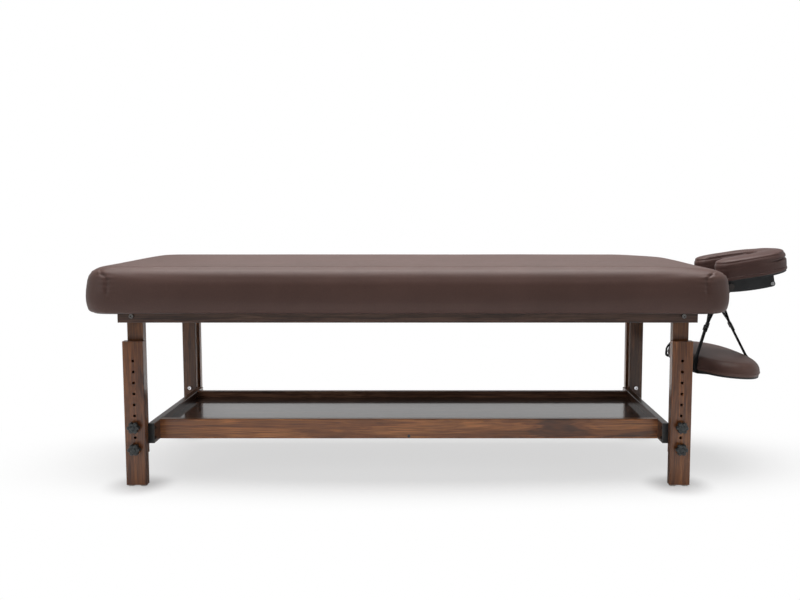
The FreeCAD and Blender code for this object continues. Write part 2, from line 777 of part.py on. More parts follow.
pivot_x = bar_x + dim["pivot_offset"]
pivot_z = bar_z + dim["pivot_rise"]
half_span = dim["crossbar_length"] / 2
bar = Vector(bar_x, 0, bar_z)
heel = Vector(pivot_x, 0, pivot_z)
lug_run = (heel - bar).normalize()
lug_side = Vector(-lug_run.z, 0, lug_run.x)
lugs = []
for sign_y in SIDES.values():
    start = Vector(0, half_span - dim["lug_width"] if sign_y > 0 else -half_span, 0)
    corners = [
        bar + lug_side * dim["lug_collar_radius"], heel + lug_side * dim["lug_eye_radius"],
        heel - lug_side * dim["lug_eye_radius"], bar - lug_side * dim["lug_collar_radius"],
    ]
    outline = Part.makePolygon([start + corner for corner in corners + corners[:1]])
    web = Part.Face(outline).extrude(Vector(0, dim["lug_width"], 0))
    collar = rod_along("y", start + bar, dim["lug_collar_radius"], dim["lug_width"])
    eye = rod_along("y", start + heel, dim["lug_eye_radius"], dim["lug_width"])
    bar_way = rod_along("y", start + bar, dim["crossbar_radius"], dim["lug_width"])
    shaft_way = rod_along("y", start + heel, dim["shaft_radius"] + dim["bolt_fit"], dim["lug_width"])
    lugs.append(web.fuse(collar).fuse(eye).cut(bar_way).cut(shaft_way).removeSplitter())
group("cradle_lugs", lugs)

# Face cradle: curved arms, clamp shaft, cam lever and pivot rod
tilt = math.radians(dim["platform_tilt"])
along = Vector(math.cos(tilt), 0, math.sin(tilt))
across = Vector(-math.sin(tilt), 0, math.cos(tilt))
toe = heel + Vector(dim["arm_reach"], 0, dim["arm_rise"])
arm_inner = half_span + dim["arm_gap"]
arm_outer = arm_inner + dim["arm_thick"]


def arm_plate():
    """One arm in the plane Y = 0: round heel, straight top, round toe and bellied underside."""
    heel_top = heel + across * dim["arm_heel_radius"]
    heel_back = heel - Vector(dim["arm_heel_radius"], 0, 0)
    heel_foot = heel - Vector(0, 0, dim["arm_heel_radius"])
    crest = toe + across * (dim["platform_rise"] - dim["arm_crest_gap"])
    toe_front = toe + along * dim["arm_toe_radius"]
    toe_foot = toe - across * dim["arm_toe_radius"]
    toe_corner = toe + (along - across).normalize() * dim["arm_toe_radius"]
    belly = (heel_foot + toe_foot) * 0.5 - Vector(0, 0, dim["arm_belly"])
    outline = Part.Wire([
        Part.Arc(heel_foot, heel_back, heel_top).toShape(),
        Part.LineSegment(heel_top, crest).toShape(),
        Part.LineSegment(crest, toe_front).toShape(),
        Part.Arc(toe_front, toe_corner, toe_foot).toShape(),
        Part.Arc(toe_foot, belly, heel_foot).toShape(),
    ])
    plate = Part.Face(outline).extrude(Vector(0, dim["arm_thick"], 0))
    for centre, radius in ((heel, dim["shaft_radius"] + dim["rod_fit"]), (toe, dim["pivot_rod_radius"])):
        start = centre - Vector(0, OVERSHOOT, 0)
        plate = plate.cut(rod_along("y", start, radius, dim["arm_thick"] + 2 * OVERSHOOT))
    return plate


for side, sign_y in SIDES.items():
    arm_start = arm_inner if sign_y > 0 else -arm_outer
    feature(f"cradle_arm_{side}", arm_plate(), FreeCAD.Placement(Vector(0, arm_start, 0), Rotation()))

pivot_rod = rod_along("y", toe - Vector(0, arm_outer, 0), dim["pivot_rod_radius"], 2 * arm_outer)
for sign_y in SIDES.values():
    rivet_seat = toe + Vector(0, sign_y * arm_outer, 0)
    rivet = rod_along("y", rivet_seat, dim["rivet_radius"], sign_y * dim["rivet_height"])
    pivot_rod = pivot_rod.fuse(rivet)
feature("cradle_pivot_rod", pivot_rod.removeSplitter())

cap_face = arm_outer + dim["arm_gap"]
pin_y = cap_face + dim["shaft_cap_height"] + dim["arm_gap"] + dim["lever_width"] / 2
pin_seat = Vector(pivot_x, pin_y, pivot_z)
shaft = rod_along("y", heel - Vector(0, cap_face, 0), dim["shaft_radius"], cap_face + pin_y)
for sign_y in SIDES.values():
    cap_seat = heel + Vector(0, sign_y * cap_face, 0)
    cap = rod_along("y", cap_seat, dim["shaft_cap_radius"], sign_y * dim["shaft_cap_height"])
    shaft = shaft.fuse(cap)
pin = rod_along(
    "z", pin_seat - Vector(0, 0, dim["lever_width"] / 2), dim["lever_pin_radius"], dim["lever_width"]
)
feature("cradle_clamp_shaft", shaft.fuse(pin).removeSplitter())

eye = rod_along(
    "z", pin_seat - Vector(0, 0, dim["lever_width"] / 2), dim["lever_width"] / 2, dim["lever_width"]
)
grip_corner = pin_seat - Vector(0, dim["lever_thick"] / 2, dim["lever_width"] / 2)
grip = Part.makeBox(dim["lever_length"], dim["lever_thick"], dim["lever_width"], grip_corner)
grip = grip.makeFillet(dim["lever_round"], grip.Edges)
slot_half = dim["shaft_radius"] + dim["arm_gap"]
slot_corner = pin_seat - Vector(dim["lever_width"], dim["lever_width"], slot_half)
slot = Part.makeBox(
    dim["lever_width"] + slot_half, 2 * dim["lever_width"], 2 * slot_half, slot_corner
)
pin_way = rod_along(
    "z", pin_seat - Vector(0, 0, dim["lever_width"]), dim["lever_pin_radius"] + dim["rod_fit"],
    2 * dim["lever_width"],
)
feature("cradle_cam_lever", eye.fuse(grip).cut(slot).cut(pin_way).removeSplitter())

# Face cradle: platform, ears, hook tape and horseshoe cushion, in the platform's tilted frame
platform_middle = toe + across * dim["platform_rise"] - along * dim["cradle_middle_back"]
platform_place = FreeCAD.Placement(platform_middle, Rotation(AXES["y"], -dim["platform_tilt"]))
tape_bottom = dim["platform_thick"]
cushion_seat = tape_bottom + dim["hook_tape_thick"]
feature(
    "cradle_platform", plate_of(horseshoe_outline(dim["platform_inset"], 0), dim["platform_thick"]),
    platform_place,
)
feature(
    "cradle_hook_tape",
    plate_of(horseshoe_outline(dim["hook_tape_inset"], tape_bottom), dim["hook_tape_thick"]),
    platform_place,
)
ears = []
ear_width = 2 * dim["ear_radius"]
for sign_y in SIDES.values():
    ear_outer = arm_inner - dim["arm_gap"]
    ear_start = ear_outer - dim["ear_thick"] if sign_y > 0 else -ear_outer
    ear_eye = Vector(dim["cradle_middle_back"], ear_start, -dim["platform_rise"])
    web_corner = ear_eye - Vector(dim["ear_radius"], 0, 0)
    web = Part.makeBox(ear_width, dim["ear_thick"], dim["platform_rise"], web_corner)
    lug = rod_along("y", ear_eye, dim["ear_radius"], dim["ear_thick"])
    rod_way = rod_along(
        "y", ear_eye - Vector(0, OVERSHOOT, 0), dim["pivot_rod_radius"] + dim["rod_fit"],
        dim["ear_thick"] + 2 * OVERSHOOT,
    )
    ears.append(web.fuse(lug).cut(rod_way).removeSplitter())
feature("cradle_ears", Part.makeCompound(ears), platform_place)
cushion_wires = []
for inset, height in cushion_profile(
    dim["cradle_thick"], dim["cradle_round"], dim["cradle_foot_round"],
    dim["cradle_bulge"], dim["cradle_crown"], dim["cradle_crown_reach"],
):
    cushion_wires.append(horseshoe_outline(inset, cushion_seat + height))
feature("cradle_cushion", Part.makeLoft(cushion_wires, True, True), platform_place)

# Hanging arm shelf: board and pad in their tilted frame
rest_middle = Vector(bar_x, 0, bar_z - dim["rest_drop"])
rest_place = FreeCAD.Placement(rest_middle, Rotation(AXES["y"], dim["rest_tilt"]))
feature(
    "rest_board", plate_of(oval_outline(dim["rest_board_inset"], 0), dim["rest_board_thick"]), rest_place
)
pad_wires = []
for inset, height in cushion_profile(
    dim["rest_pad_thick"], dim["rest_pad_round"], dim["rest_foot_round"],
    dim["rest_bulge"], dim["rest_crown"], dim["rest_crown_reach"],
):
    pad_wires.append(oval_outline(inset, dim["rest_board_thick"] + height))
feature("rest_pad", Part.makeLoft(pad_wires, True, True), rest_place)


# Hanging arm shelf: webbing straps looped over the crossbar, with their slider buckles
def pad_route(lean, foot_y):
    """Centre line of a strap at the pad in X and Z: beside it, down its edge and under the board."""
    edge = oval_half_width(foot_y) + dim["strap_pad_gap"] + dim["strap_thick"] / 2
    under = -dim["strap_thick"] / 2
    meets = dim["rest_board_thick"] + dim["strap_meet_height"]
    local_points = [(edge, meets), (edge, under), (edge - dim["strap_tuck_length"], under)]
    return [rest_place.multVec(Vector(lean * x, 0, z)) for x, z in local_points]


def offset_point(points, index, distance):
    """A point of the route moved sideways, on the mitre where the route bends."""
    normals = []
    for start, stop in ((index - 1, index), (index, index + 1)):
        if start >= 0 and stop < len(points):
            run = (points[stop] - points[start]).normalize()
            normals.append(Vector(-run.z, 0, run.x))
    mitre = sum(normals, Vector()).normalize()
    return points[index] + mitre * (distance / mitre.dot(normals[0]))


def band(points, middles, crossings, width, thick):
    """A flat band along a route: its middle moves across Y, and each crossing is the way its width runs."""
    sections = []
    for index, (middle, crossing) in enumerate(zip(middles, crossings)):
        low = offset_point(points, index, -thick / 2)
        high = offset_point(points, index, thick / 2)
        near = Vector(0, middle, 0) - crossing * (width / 2)
        far = Vector(0, middle, 0) + crossing * (width / 2)
        corners = [low + near, high + near, high + far, low + far, low + near]
        sections.append(Part.makePolygon(corners))
    pieces = [Part.makeLoft(list(pair), True, True) for pair in zip(sections, sections[1:])]
    return pieces[0].multiFuse(pieces[1:]) if len(pieces) > 1 else pieces[0]


def loop_round_bar(top_y, joint, joint_y):
    """The strap's loop: over the crossbar, and both strands down to where they meet."""
    inner = dim["crossbar_radius"] + dim["strap_ring_gap"]
    outer = inner + dim["strap_thick"]
    middle = (inner + outer) / 2
    seat = Vector(bar_x, top_y - dim["strap_width"] / 2, bar_z)
    over_bar = rod_along("y", seat, outer, dim["strap_width"])
    over_bar = over_bar.cut(rod_along("y", seat, inner, dim["strap_width"]))
    reach = joint - bar
    heading = math.atan2(reach.z, reach.x)
    opening = math.acos(middle / reach.Length)
    leaves = []
    for bearing in (heading - opening, heading + opening):
        leaves.append(bar + Vector(math.cos(bearing), 0, math.sin(bearing)) * middle)
    far_out = [bar + (leave - bar) * (reach.Length / middle) for leave in leaves]
    open_side = Part.makePolygon([
        point + Vector(0, seat.y, 0) for point in (bar, far_out[0], bar + reach * 2, far_out[1], bar)
    ])
    loop = over_bar.cut(Part.Face(open_side).extrude(Vector(0, dim["strap_width"], 0)))
    for leave in leaves:
        strand = band([leave, joint], [top_y, joint_y], [LEVEL] * 2, dim["strap_width"], dim["strap_thick"])
        loop = loop.fuse(strand)
    return loop


def hung_strap(lean, top_y, foot_y):
    """One strap and the slider buckle on it."""
    width = dim["strap_width"]
    pad_points = pad_route(lean, foot_y)
    edges = [oval_half_width(foot_y + share * width) for share in (-0.5, 0.5)]
    along_edge = rest_place.Rotation.multVec(Vector(lean * (edges[1] - edges[0]) / width, 1, 0))
    run = pad_points[0] - bar
    shares = (dim["buckle_from"], dim["buckle_to"])
    buckle_points = [bar + run * share for share in shares]
    buckle_middles = [top_y + (foot_y - top_y) * share for share in shares]
    strap = loop_round_bar(top_y, buckle_points[0], buckle_middles[0])
    strap = strap.fuse(band(
        buckle_points + pad_points, buckle_middles + [foot_y] * len(pad_points),
        [LEVEL] * 2 + [along_edge] * len(pad_points), width, dim["strap_thick"],
    ))
    buckle = band(buckle_points, buckle_middles, [LEVEL] * 2, dim["buckle_width"], dim["buckle_thick"])
    slot = band(
        [bar, pad_points[0]], [top_y, foot_y], [LEVEL] * 2,
        dim["buckle_width"] - 2 * dim["buckle_wall"], dim["strap_thick"] + 2 * dim["buckle_gap"],
    )
    return strap.removeSplitter(), buckle.cut(slot)


hung_straps = [hung_strap(1, 0, 0)]
for sign_y in SIDES.values():
    hung_straps.append(
        hung_strap(-1, sign_y * dim["strap_spacing"] / 2, sign_y * dim["strap_foot_spacing"] / 2)
    )
group("rest_straps", [strap for strap, buckle in hung_straps])
group("rest_buckles", [buckle for strap, buckle in hung_straps])

# Check everything before anything is written
doc.recompute()
for item in doc.Objects:
    if {"Invalid", "Error"} & set(item.State):
        raise RuntimeError(f"{item.Label} failed: {item.State}")
for item in PARTS:
    if item.Shape.isNull() or not item.Shape.isValid():
        raise RuntimeError(f"{item.Label} has no valid shape")
for item in PARTS:
    item.Shape.exportStep(f"parts/{item.Label}.step")
print(f"{len(PARTS)} pieces written")
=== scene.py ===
import math

import bmesh
import bpy
import numpy as np
from mathutils import Matrix, Vector, noise


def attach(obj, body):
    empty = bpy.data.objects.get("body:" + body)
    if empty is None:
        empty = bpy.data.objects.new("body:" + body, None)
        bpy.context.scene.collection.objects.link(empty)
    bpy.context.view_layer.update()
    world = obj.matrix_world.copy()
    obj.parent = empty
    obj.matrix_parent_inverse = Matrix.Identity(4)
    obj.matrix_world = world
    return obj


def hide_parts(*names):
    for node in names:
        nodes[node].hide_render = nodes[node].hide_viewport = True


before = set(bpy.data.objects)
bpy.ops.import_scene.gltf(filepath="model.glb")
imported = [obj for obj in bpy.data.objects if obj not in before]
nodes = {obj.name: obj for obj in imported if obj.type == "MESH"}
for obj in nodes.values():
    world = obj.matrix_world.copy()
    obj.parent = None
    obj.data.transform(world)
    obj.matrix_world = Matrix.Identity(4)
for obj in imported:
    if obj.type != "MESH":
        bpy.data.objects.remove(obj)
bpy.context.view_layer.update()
scene = bpy.context.scene

X_AXIS, Y_AXIS, Z_AXIS = range(3)

# Padded top, as the solids have it
TOP_HALF_LENGTH = 0.937
TOP_HALF_WIDTH = 0.353
TOP_BOTTOM = 0.5145
TOP_THICK = 0.1355
TOP_CORNER = 0.090

# Face cradle and its tilted platform
CRADLE_TILT = math.radians(9)
CRADLE_TOE = Vector((1.1303, 0, 0.582))
PLATFORM_RISE = 0.028
CRADLE_BACK = 0.062
CRADLE_SEAT = 0.0105
PLATFORM_INSET = 0.004
CRADLE_THICK = 0.062
CRADLE_OUTER = 0.146
CRADLE_INNER = 0.052
CRADLE_LEG = 0.060

# Hanging arm shelf and the crossbar that carries it
BAR = Vector((0.9813, 0, 0.552))
BAR_RADIUS = 0.014
REST_DROP = 0.245
REST_TILT = math.radians(4.7)
REST_HALF_WIDTH = 0.120
REST_HALF_LENGTH = 0.234
REST_POWER = 2.4
REST_BOARD = 0.009
REST_THICK = 0.040
STRAP_WIDTH = 0.025
STRAP_THICK = 0.002
STRAP_PAD_GAP = 0.0008
STRAP_RING_GAP = 0.0004
STRAP_MEET_HEIGHT = 0.013
STRAP_TUCK = 0.042
BUCKLE_SHARES = (0.46, 0.53)
BUCKLE_WIDTH = 0.030
BUCKLE_THICK = 0.0055

# Each strap's side of the arm shelf, and its place along Y at the crossbar and at the pad
STRAPS = {"table_front": (-1, -0.042, -0.147), "table_rear": (-1, 0.042, 0.147), "head": (1, 0.0, 0.0)}


# Materials
def start_material(name):
    """A new node material with its tree and its shader."""
    material = bpy.data.materials.new(name)
    material.use_nodes = True
    tree = material.node_tree
    return material, tree, tree.nodes["Principled BSDF"]


def add(tree, kind, inputs=None, **settings):
    """A node with its settings made and its sockets filled or linked."""
    node = tree.nodes.new(kind)
    for name, value in settings.items():
        setattr(node, name, value)
    for name, value in (inputs or {}).items():
        if isinstance(value, bpy.types.NodeSocket):
            tree.links.new(value, node.inputs[name])
        else:
            node.inputs[name].default_value = value
    return node


def place_texture(tree, scale, source="Object"):
    """Texture coordinates, stretched by a scale per axis."""
    vector = add(tree, "ShaderNodeTexCoord").outputs[source]
    return add(tree, "ShaderNodeMapping", {"Vector": vector, "Scale": scale}).outputs["Vector"]


def noise_value(tree, vector, scale, detail=2.0, rough=0.5, distortion=0.0):
    """A noise field from 0 to 1."""
    inputs = {
        "Vector": vector, "Scale": scale, "Detail": detail, "Roughness": rough, "Distortion": distortion,
    }
    return add(tree, "ShaderNodeTexNoise", inputs).outputs["Fac"]


def ramp(tree, value, stops):
    """Colours along a value; stops are pairs of position and colour."""
    node = add(tree, "ShaderNodeValToRGB", {"Fac": value})
    elements = node.color_ramp.elements
    while len(elements) < len(stops):
        elements.new(0.5)
    for element, (position, colour) in zip(elements, stops):
        element.position = position
        element.color = (*colour, 1)
    return node.outputs["Color"]


def span(tree, value, low, high):
    """A value from 0 to 1 spread between two numbers."""
    node = add(tree, "ShaderNodeMapRange", {"Value": value, "To Min": low, "To Max": high})
    return node.outputs["Result"]


def eased(tree, value, low, high, first, last):
    """A value eased from one number at its low end to another at its high end."""
    inputs = {"Value": value, "From Min": low, "From Max": high, "To Min": first, "To Max": last}
    return add(tree, "ShaderNodeMapRange", inputs, interpolation_type="SMOOTHSTEP").outputs["Result"]


def maths(tree, operation, *values):
    """One step of arithmetic."""
    return add(tree, "ShaderNodeMath", dict(enumerate(values)), operation=operation).outputs[0]


def vector_length(tree, operation, *vectors):
    """The length of a vector, or the distance between two."""
    return add(tree, "ShaderNodeVectorMath", dict(enumerate(vectors)), operation=operation).outputs["Value"]


def mixed(tree, share, first, second, blend="MIX"):
    """Two colours blended."""
    node = add(tree, "ShaderNodeMix", data_type="RGBA", blend_type=blend)
    for socket, value in ((node.inputs[0], share), (node.inputs[6], first), (node.inputs[7], second)):
        if isinstance(value, bpy.types.NodeSocket):
            tree.links.new(value, socket)
        else:
            socket.default_value = value
    return node.outputs[2]


def bump(tree, shader, layers):
    """Bumps on top of each other; layers are a height, a strength and a depth each."""
    normal = None
    for height, strength, depth in layers:
        node = add(tree, "ShaderNodeBump", {"Height": height, "Strength": strength, "Distance": depth})
        if normal:
            tree.links.new(normal, node.inputs["Normal"])
        normal = node.outputs["Normal"]
    tree.links.new(normal, shader.inputs["Normal"])


def leatherette(name, deep, light, creases):
    """Embossed coated fabric: pebbled grain, soft creases, a satin sheen."""
    material, tree, shader = start_material(name)
    place = place_texture(tree, (1, 1, 1))
    tone = noise_value(tree, place, 7, detail=3)
    fleck = noise_value(tree, place, 420, detail=3, rough=0.6)
    colour = ramp(tree, tone, [(0.3, deep), (0.7, light)])
    shade = ramp(tree, fleck, [(0.3, (0.82, 0.82, 0.82)), (0.7, (1, 1, 1))])
    tree.links.new(mixed(tree, 1.0, colour, shade, "MULTIPLY"), shader.inputs["Base Color"])
    pebble = add(
        tree, "ShaderNodeTexVoronoi", {"Vector": place, "Scale": 620, "Randomness": 0.9},
        feature="DISTANCE_TO_EDGE",
    )
    crease = noise_value(tree, place, 38, detail=4, rough=0.6, distortion=0.4)
    tree.links.new(span(tree, crease, 0.42, 0.54), shader.inputs["Roughness"])
    bump(tree, shader, [
        (crease, creases, 0.0012), (pebble.outputs["Distance"], 0.22, 0.0004), (fleck, 0.08, 0.0003),
    ])
    shader.inputs["Specular IOR Level"].default_value = 0.25
    shader.inputs["Sheen Weight"].default_value = 0.05
    shader.inputs["Sheen Roughness"].default_value = 0.5
    return material


RING_TURNS = 52.0
HEART_SHADE = 0.4
END_PAINT = (0.034, 0.036, 0.036, 1)


def stained_wood(
    name, along, dark, middle, light, shine=0.34, gloss=(0.35, 0.16), knots=(), dark_ends=0
):
    """Stained and lacquered wood whose grain runs along one axis and flows round its knots.

    The gloss is the lacquer's weight and roughness; past dark_ends, along the grain, it is painted.
    """
    material, tree, shader = start_material(name)

    def grain_place(across_scale, along_scale):
        scale = [across_scale] * 3
        scale[along] = along_scale
        return place_texture(tree, scale)

    figure = noise_value(tree, grain_place(24.0, 1.8), 1.0, detail=5, rough=0.55, distortion=1.2)
    hearts = []
    for centre, reach in knots:
        heart, flow = knot_field(tree, centre, reach, along)
        hearts.append(heart)
        figure = maths(tree, "ADD", figure, flow)
    wave = maths(tree, "SINE", maths(tree, "MULTIPLY", figure, RING_TURNS))
    from_wave = {"Value": wave, "From Min": -1.0, "From Max": 1.0}
    ring = add(tree, "ShaderNodeMapRange", from_wave).outputs["Result"]
    streak = noise_value(tree, grain_place(115.0, 3.4), 1.0, detail=4, rough=0.62, distortion=0.5)
    fibre = noise_value(tree, grain_place(560.0, 11.0), 1.0, detail=3, rough=0.6)
    patch = noise_value(tree, grain_place(9.0, 4.0), 1.0)
    colour = ramp(tree, figure, [(0.30, dark), (0.47, middle), (0.66, light)])
    shades = [
        ramp(tree, ring, [(0.0, (0.72, 0.69, 0.66)), (0.75, (1, 1, 1))]),
        ramp(tree, streak, [(0.33, (0.52, 0.49, 0.48)), (0.52, (1, 1, 1))]),
        ramp(tree, fibre, [(0.36, (0.46, 0.42, 0.40)), (0.58, (1.0, 1.0, 1.0))]),
        ramp(tree, patch, [(0.3, (0.74, 0.70, 0.68)), (0.7, (1.0, 1.0, 1.0))]),
    ]
    for shade in shades:
        colour = mixed(tree, 1.0, colour, shade, "MULTIPLY")
    for heart in hearts:
        colour = mixed(tree, heart, colour, (*(HEART_SHADE * c for c in dark), 1))
    if dark_ends:
        spot = add(tree, "ShaderNodeSeparateXYZ", {0: place_texture(tree, (1, 1, 1))})
        reach = maths(tree, "ABSOLUTE", spot.outputs[along])
        painted = maths(tree, "GREATER_THAN", reach, dark_ends)
        colour = mixed(tree, painted, colour, END_PAINT)
    tree.links.new(colour, shader.inputs["Base Color"])
    tree.links.new(span(tree, fibre, shine - 0.06, shine + 0.10), shader.inputs["Roughness"])
    bump(tree, shader, [(fibre, 0.12, 0.0004), (ring, 0.04, 0.0005)])
    shader.inputs["Coat Weight"].default_value = gloss[0]
    shader.inputs["Coat Roughness"].default_value = gloss[1]
    return material


def knot_field(tree, centre, reach, along):
    """A knot's dark heart, and how far it bends the grain around it."""
    stretch = [1.0, 1.0, 1.0]
    stretch[along] = 0.5
    place = place_texture(tree, stretch)
    middle = [c * s for c, s in zip(centre, stretch)]
    share = maths(tree, "DIVIDE", vector_length(tree, "DISTANCE", place, middle), reach)
    inner = {"Value": share, "From Min": 0.12, "From Max": 0.55, "To Min": 0.9, "To Max": 0.0}
    heart = add(tree, "ShaderNodeMapRange", inner).outputs["Result"]
    return heart, eased(tree, share, 0.0, 2.2, -0.22, 0.0)


def moulded(name, colour, rough, grain=900.0, depth=0.0002):
    """Moulded plastic with a fine eroded texture and faint handling marks."""
    material, tree, shader = start_material(name)
    place = place_texture(tree, (1, 1, 1))
    fine = noise_value(tree, place, grain)
    broad = noise_value(tree, place, 45, detail=4, rough=0.6)
    lighter = [min(1.0, 1.5 * c + 0.004) for c in colour]
    tree.links.new(ramp(tree, broad, [(0.35, colour), (0.75, lighter)]), shader.inputs["Base Color"])
    tree.links.new(span(tree, broad, rough - 0.07, rough + 0.09), shader.inputs["Roughness"])
    bump(tree, shader, [(fine, 0.2, depth)])
    return material


def plated(name, colour, rough):
    """Plated or drawn steel with fine turning marks."""
    material, tree, shader = start_material(name)
    place = place_texture(tree, (1, 1, 1))
    marks = noise_value(tree, place, 700, detail=3, rough=0.6)
    worn = noise_value(tree, place, 60, detail=3)
    darker = [0.8 * c for c in colour]
    tree.links.new(ramp(tree, worn, [(0.3, darker), (0.6, colour)]), shader.inputs["Base Color"])
    tree.links.new(span(tree, marks, rough - 0.05, rough + 0.08), shader.inputs["Roughness"])
    bump(tree, shader, [(marks, 0.08, 0.0001)])
    shader.inputs["Metallic"].default_value = 1.0
    return material


def webbing(name):
    """Black woven tape: ribs along its length crossed by its weft, from the strap's own UVs in metres."""
    material, tree, shader = start_material(name)
    place = place_texture(tree, (1, 1, 1), "UV")
    ribs = add(tree, "ShaderNodeTexWave", {"Vector": place, "Scale": 105.0}, bands_direction="X")
    weft = add(tree, "ShaderNodeTexWave", {"Vector": place, "Scale": 150.0}, bands_direction="Y")
    weave = maths(tree, "MULTIPLY", ribs.outputs["Fac"], weft.outputs["Fac"])
    colour = ramp(tree, weave, [(0.0, (0.004, 0.004, 0.004)), (0.8, (0.015, 0.015, 0.016))])
    tree.links.new(colour, shader.inputs["Base Color"])
    tree.links.new(span(tree, weave, 0.75, 0.55), shader.inputs["Roughness"])
    bump(tree, shader, [(weave, 0.5, 0.0005)])
    shader.inputs["Sheen Weight"].default_value = 0.03
    shader.inputs["Specular IOR Level"].default_value = 0.25
    return material


def foam(name):
    """Open-celled foam."""
    material, tree, shader = start_material(name)
    place = place_texture(tree, (1, 1, 1))
    cells = add(tree, "ShaderNodeTexVoronoi", {"Vector": place, "Scale": 500})
    colour = ramp(tree, cells.outputs["Distance"], [(0.0, (0.55, 0.48, 0.30)), (0.6, (0.82, 0.76, 0.56))])
    tree.links.new(colour, shader.inputs["Base Color"])
    bump(tree, shader, [(cells.outputs["Distance"], 0.4, 0.0006)])
    shader.inputs["Roughness"].default_value = 0.9
    return material


LEATHER = leatherette("top_leatherette", (0.090, 0.048, 0.039), (0.104, 0.056, 0.046), creases=0.04)
CRADLE_LEATHER = leatherette(
    "cradle_leatherette", (0.074, 0.037, 0.031), (0.090, 0.046, 0.039), creases=0.05
)
REST_LEATHER = leatherette("rest_leatherette", (0.118, 0.065, 0.053), (0.136, 0.075, 0.062), creases=0.03)
LEG_WOOD = stained_wood(
    "leg_wood", Z_AXIS, (0.136, 0.043, 0.012), (0.285, 0.100, 0.028), (0.400, 0.152, 0.045)
)
POST_WOOD = stained_wood(
    "post_wood", Z_AXIS, (0.090, 0.034, 0.010), (0.190, 0.070, 0.021), (0.290, 0.115, 0.037)
)
APRON_WOOD = stained_wood(
    "apron_wood", X_AXIS, (0.053, 0.026, 0.018), (0.119, 0.058, 0.038), (0.187, 0.098, 0.065)
)
END_WOOD = stained_wood(
    "end_wood", Y_AXIS, (0.053, 0.026, 0.018), (0.119, 0.058, 0.038), (0.187, 0.098, 0.065)
)
SIDE_RAIL_WOOD = stained_wood(
    "side_rail_wood", Y_AXIS, (0.075, 0.036, 0.022), (0.160, 0.075, 0.045), (0.250, 0.125, 0.075),
    gloss=(0.4, 0.16), dark_ends=0.2552,
)
BOARD_WOOD = stained_wood(
    "board_wood", X_AXIS, (0.050, 0.023, 0.015), (0.110, 0.050, 0.032), (0.170, 0.080, 0.052),
    shine=0.28, gloss=(1.0, 0.07),
)
RAIL_WOOD = stained_wood(
    "rail_wood", X_AXIS, (0.200, 0.064, 0.017), (0.510, 0.180, 0.046), (0.730, 0.288, 0.081),
    knots=[((0.424, -0.205, 0.152), 0.022), ((0.486, -0.205, 0.149), 0.025)],
)
# The front rail's wood painted paler and greyer: painted light and a painted reflection, in place of the
# light this rail lacks in the shade of the top
REAR_RAIL_PAINTED_LIGHT_WOOD = stained_wood(
    "rear_rail_painted_light_wood", X_AXIS, (0.160, 0.078, 0.050), (0.360, 0.180, 0.112), (0.520, 0.280, 0.175)
)
DECK_WOOD = stained_wood(
    "deck_wood", X_AXIS, (0.36, 0.22, 0.11), (0.52, 0.36, 0.20), (0.64, 0.48, 0.30), shine=0.6
)
BLACK_BOARD = moulded("black_board", (0.012, 0.011, 0.011), 0.55, grain=300.0)
BLACK_WOOD = stained_wood(
    "black_wood", Y_AXIS, (0.010, 0.009, 0.009), (0.016, 0.014, 0.014), (0.024, 0.021, 0.020), shine=0.42
)
KNOB_PLASTIC = moulded("knob_plastic", (0.026, 0.030, 0.030), 0.36)
CRADLE_PLASTIC = moulded("cradle_plastic", (0.014, 0.015, 0.016), 0.45)
BUCKLE_PLASTIC = moulded("buckle_plastic", (0.012, 0.012, 0.013), 0.42)
GLIDE_PLASTIC = moulded("glide_plastic", (0.60, 0.58, 0.53), 0.5)
BRIGHT_STEEL = plated("bright_steel", (0.80, 0.80, 0.82), 0.20)
DULL_STEEL = plated("dull_steel", (0.30, 0.29, 0.28), 0.24)
DARK_STEEL = plated("dark_steel", (0.10, 0.09, 0.085), 0.38)
WEBBING = webbing("black_webbing")
HOOK_TAPE = moulded("hook_tape", (0.010, 0.010, 0.011), 0.8, grain=1400.0, depth=0.0008)
FOAM = foam("foam")

# Each solid's look, by the start of its node's name: the first that fits
NODE_LOOKS = {
    "leg_bolts": BRIGHT_STEEL,
    "apron_bolts": DULL_STEEL,
    "apron_foot": END_WOOD,
    "apron_head": END_WOOD,
    "shelf_side_rail_": SIDE_RAIL_WOOD,
    "shelf_rail_front": RAIL_WOOD,
    "shelf_rail_rear": REAR_RAIL_PAINTED_LIGHT_WOOD,
    "shelf_board": BOARD_WOOD,
    "shelf_battens": END_WOOD,
    "shelf_screws": DARK_STEEL,
    "base_panel": BLACK_BOARD,
    "deck_": DECK_WOOD,
    "foam_core": FOAM,
    "top_padding": FOAM,
    "leg_": LEG_WOOD,
    "post_": POST_WOOD,
    "apron_": APRON_WOOD,
    "knob_": KNOB_PLASTIC,
    "glides_": GLIDE_PLASTIC,
    "cradle_rods": BRIGHT_STEEL,
    "cradle_sockets": BRIGHT_STEEL,
    "cradle_pivot_rod": BRIGHT_STEEL,
    "cradle_clamp_shaft": DARK_STEEL,
    "cradle_crossbar": BLACK_WOOD,
    "cradle_lugs": BLACK_WOOD,
    "cradle_hook_tape": HOOK_TAPE,
    "cradle_": CRADLE_PLASTIC,
    "rest_board": BLACK_BOARD,
}
for name, item in nodes.items():
    look = next((NODE_LOOKS[start] for start in NODE_LOOKS if name.startswith(start)), None)
    if look:
        item.data.materials.clear()
        item.data.materials.append(look)


# Meshes
def new_piece(name, mesh, material):
    """An object in the scene with one material."""
    piece = bpy.data.objects.new(name, mesh)
    scene.collection.objects.link(piece)
    mesh.materials.append(material)
    return piece


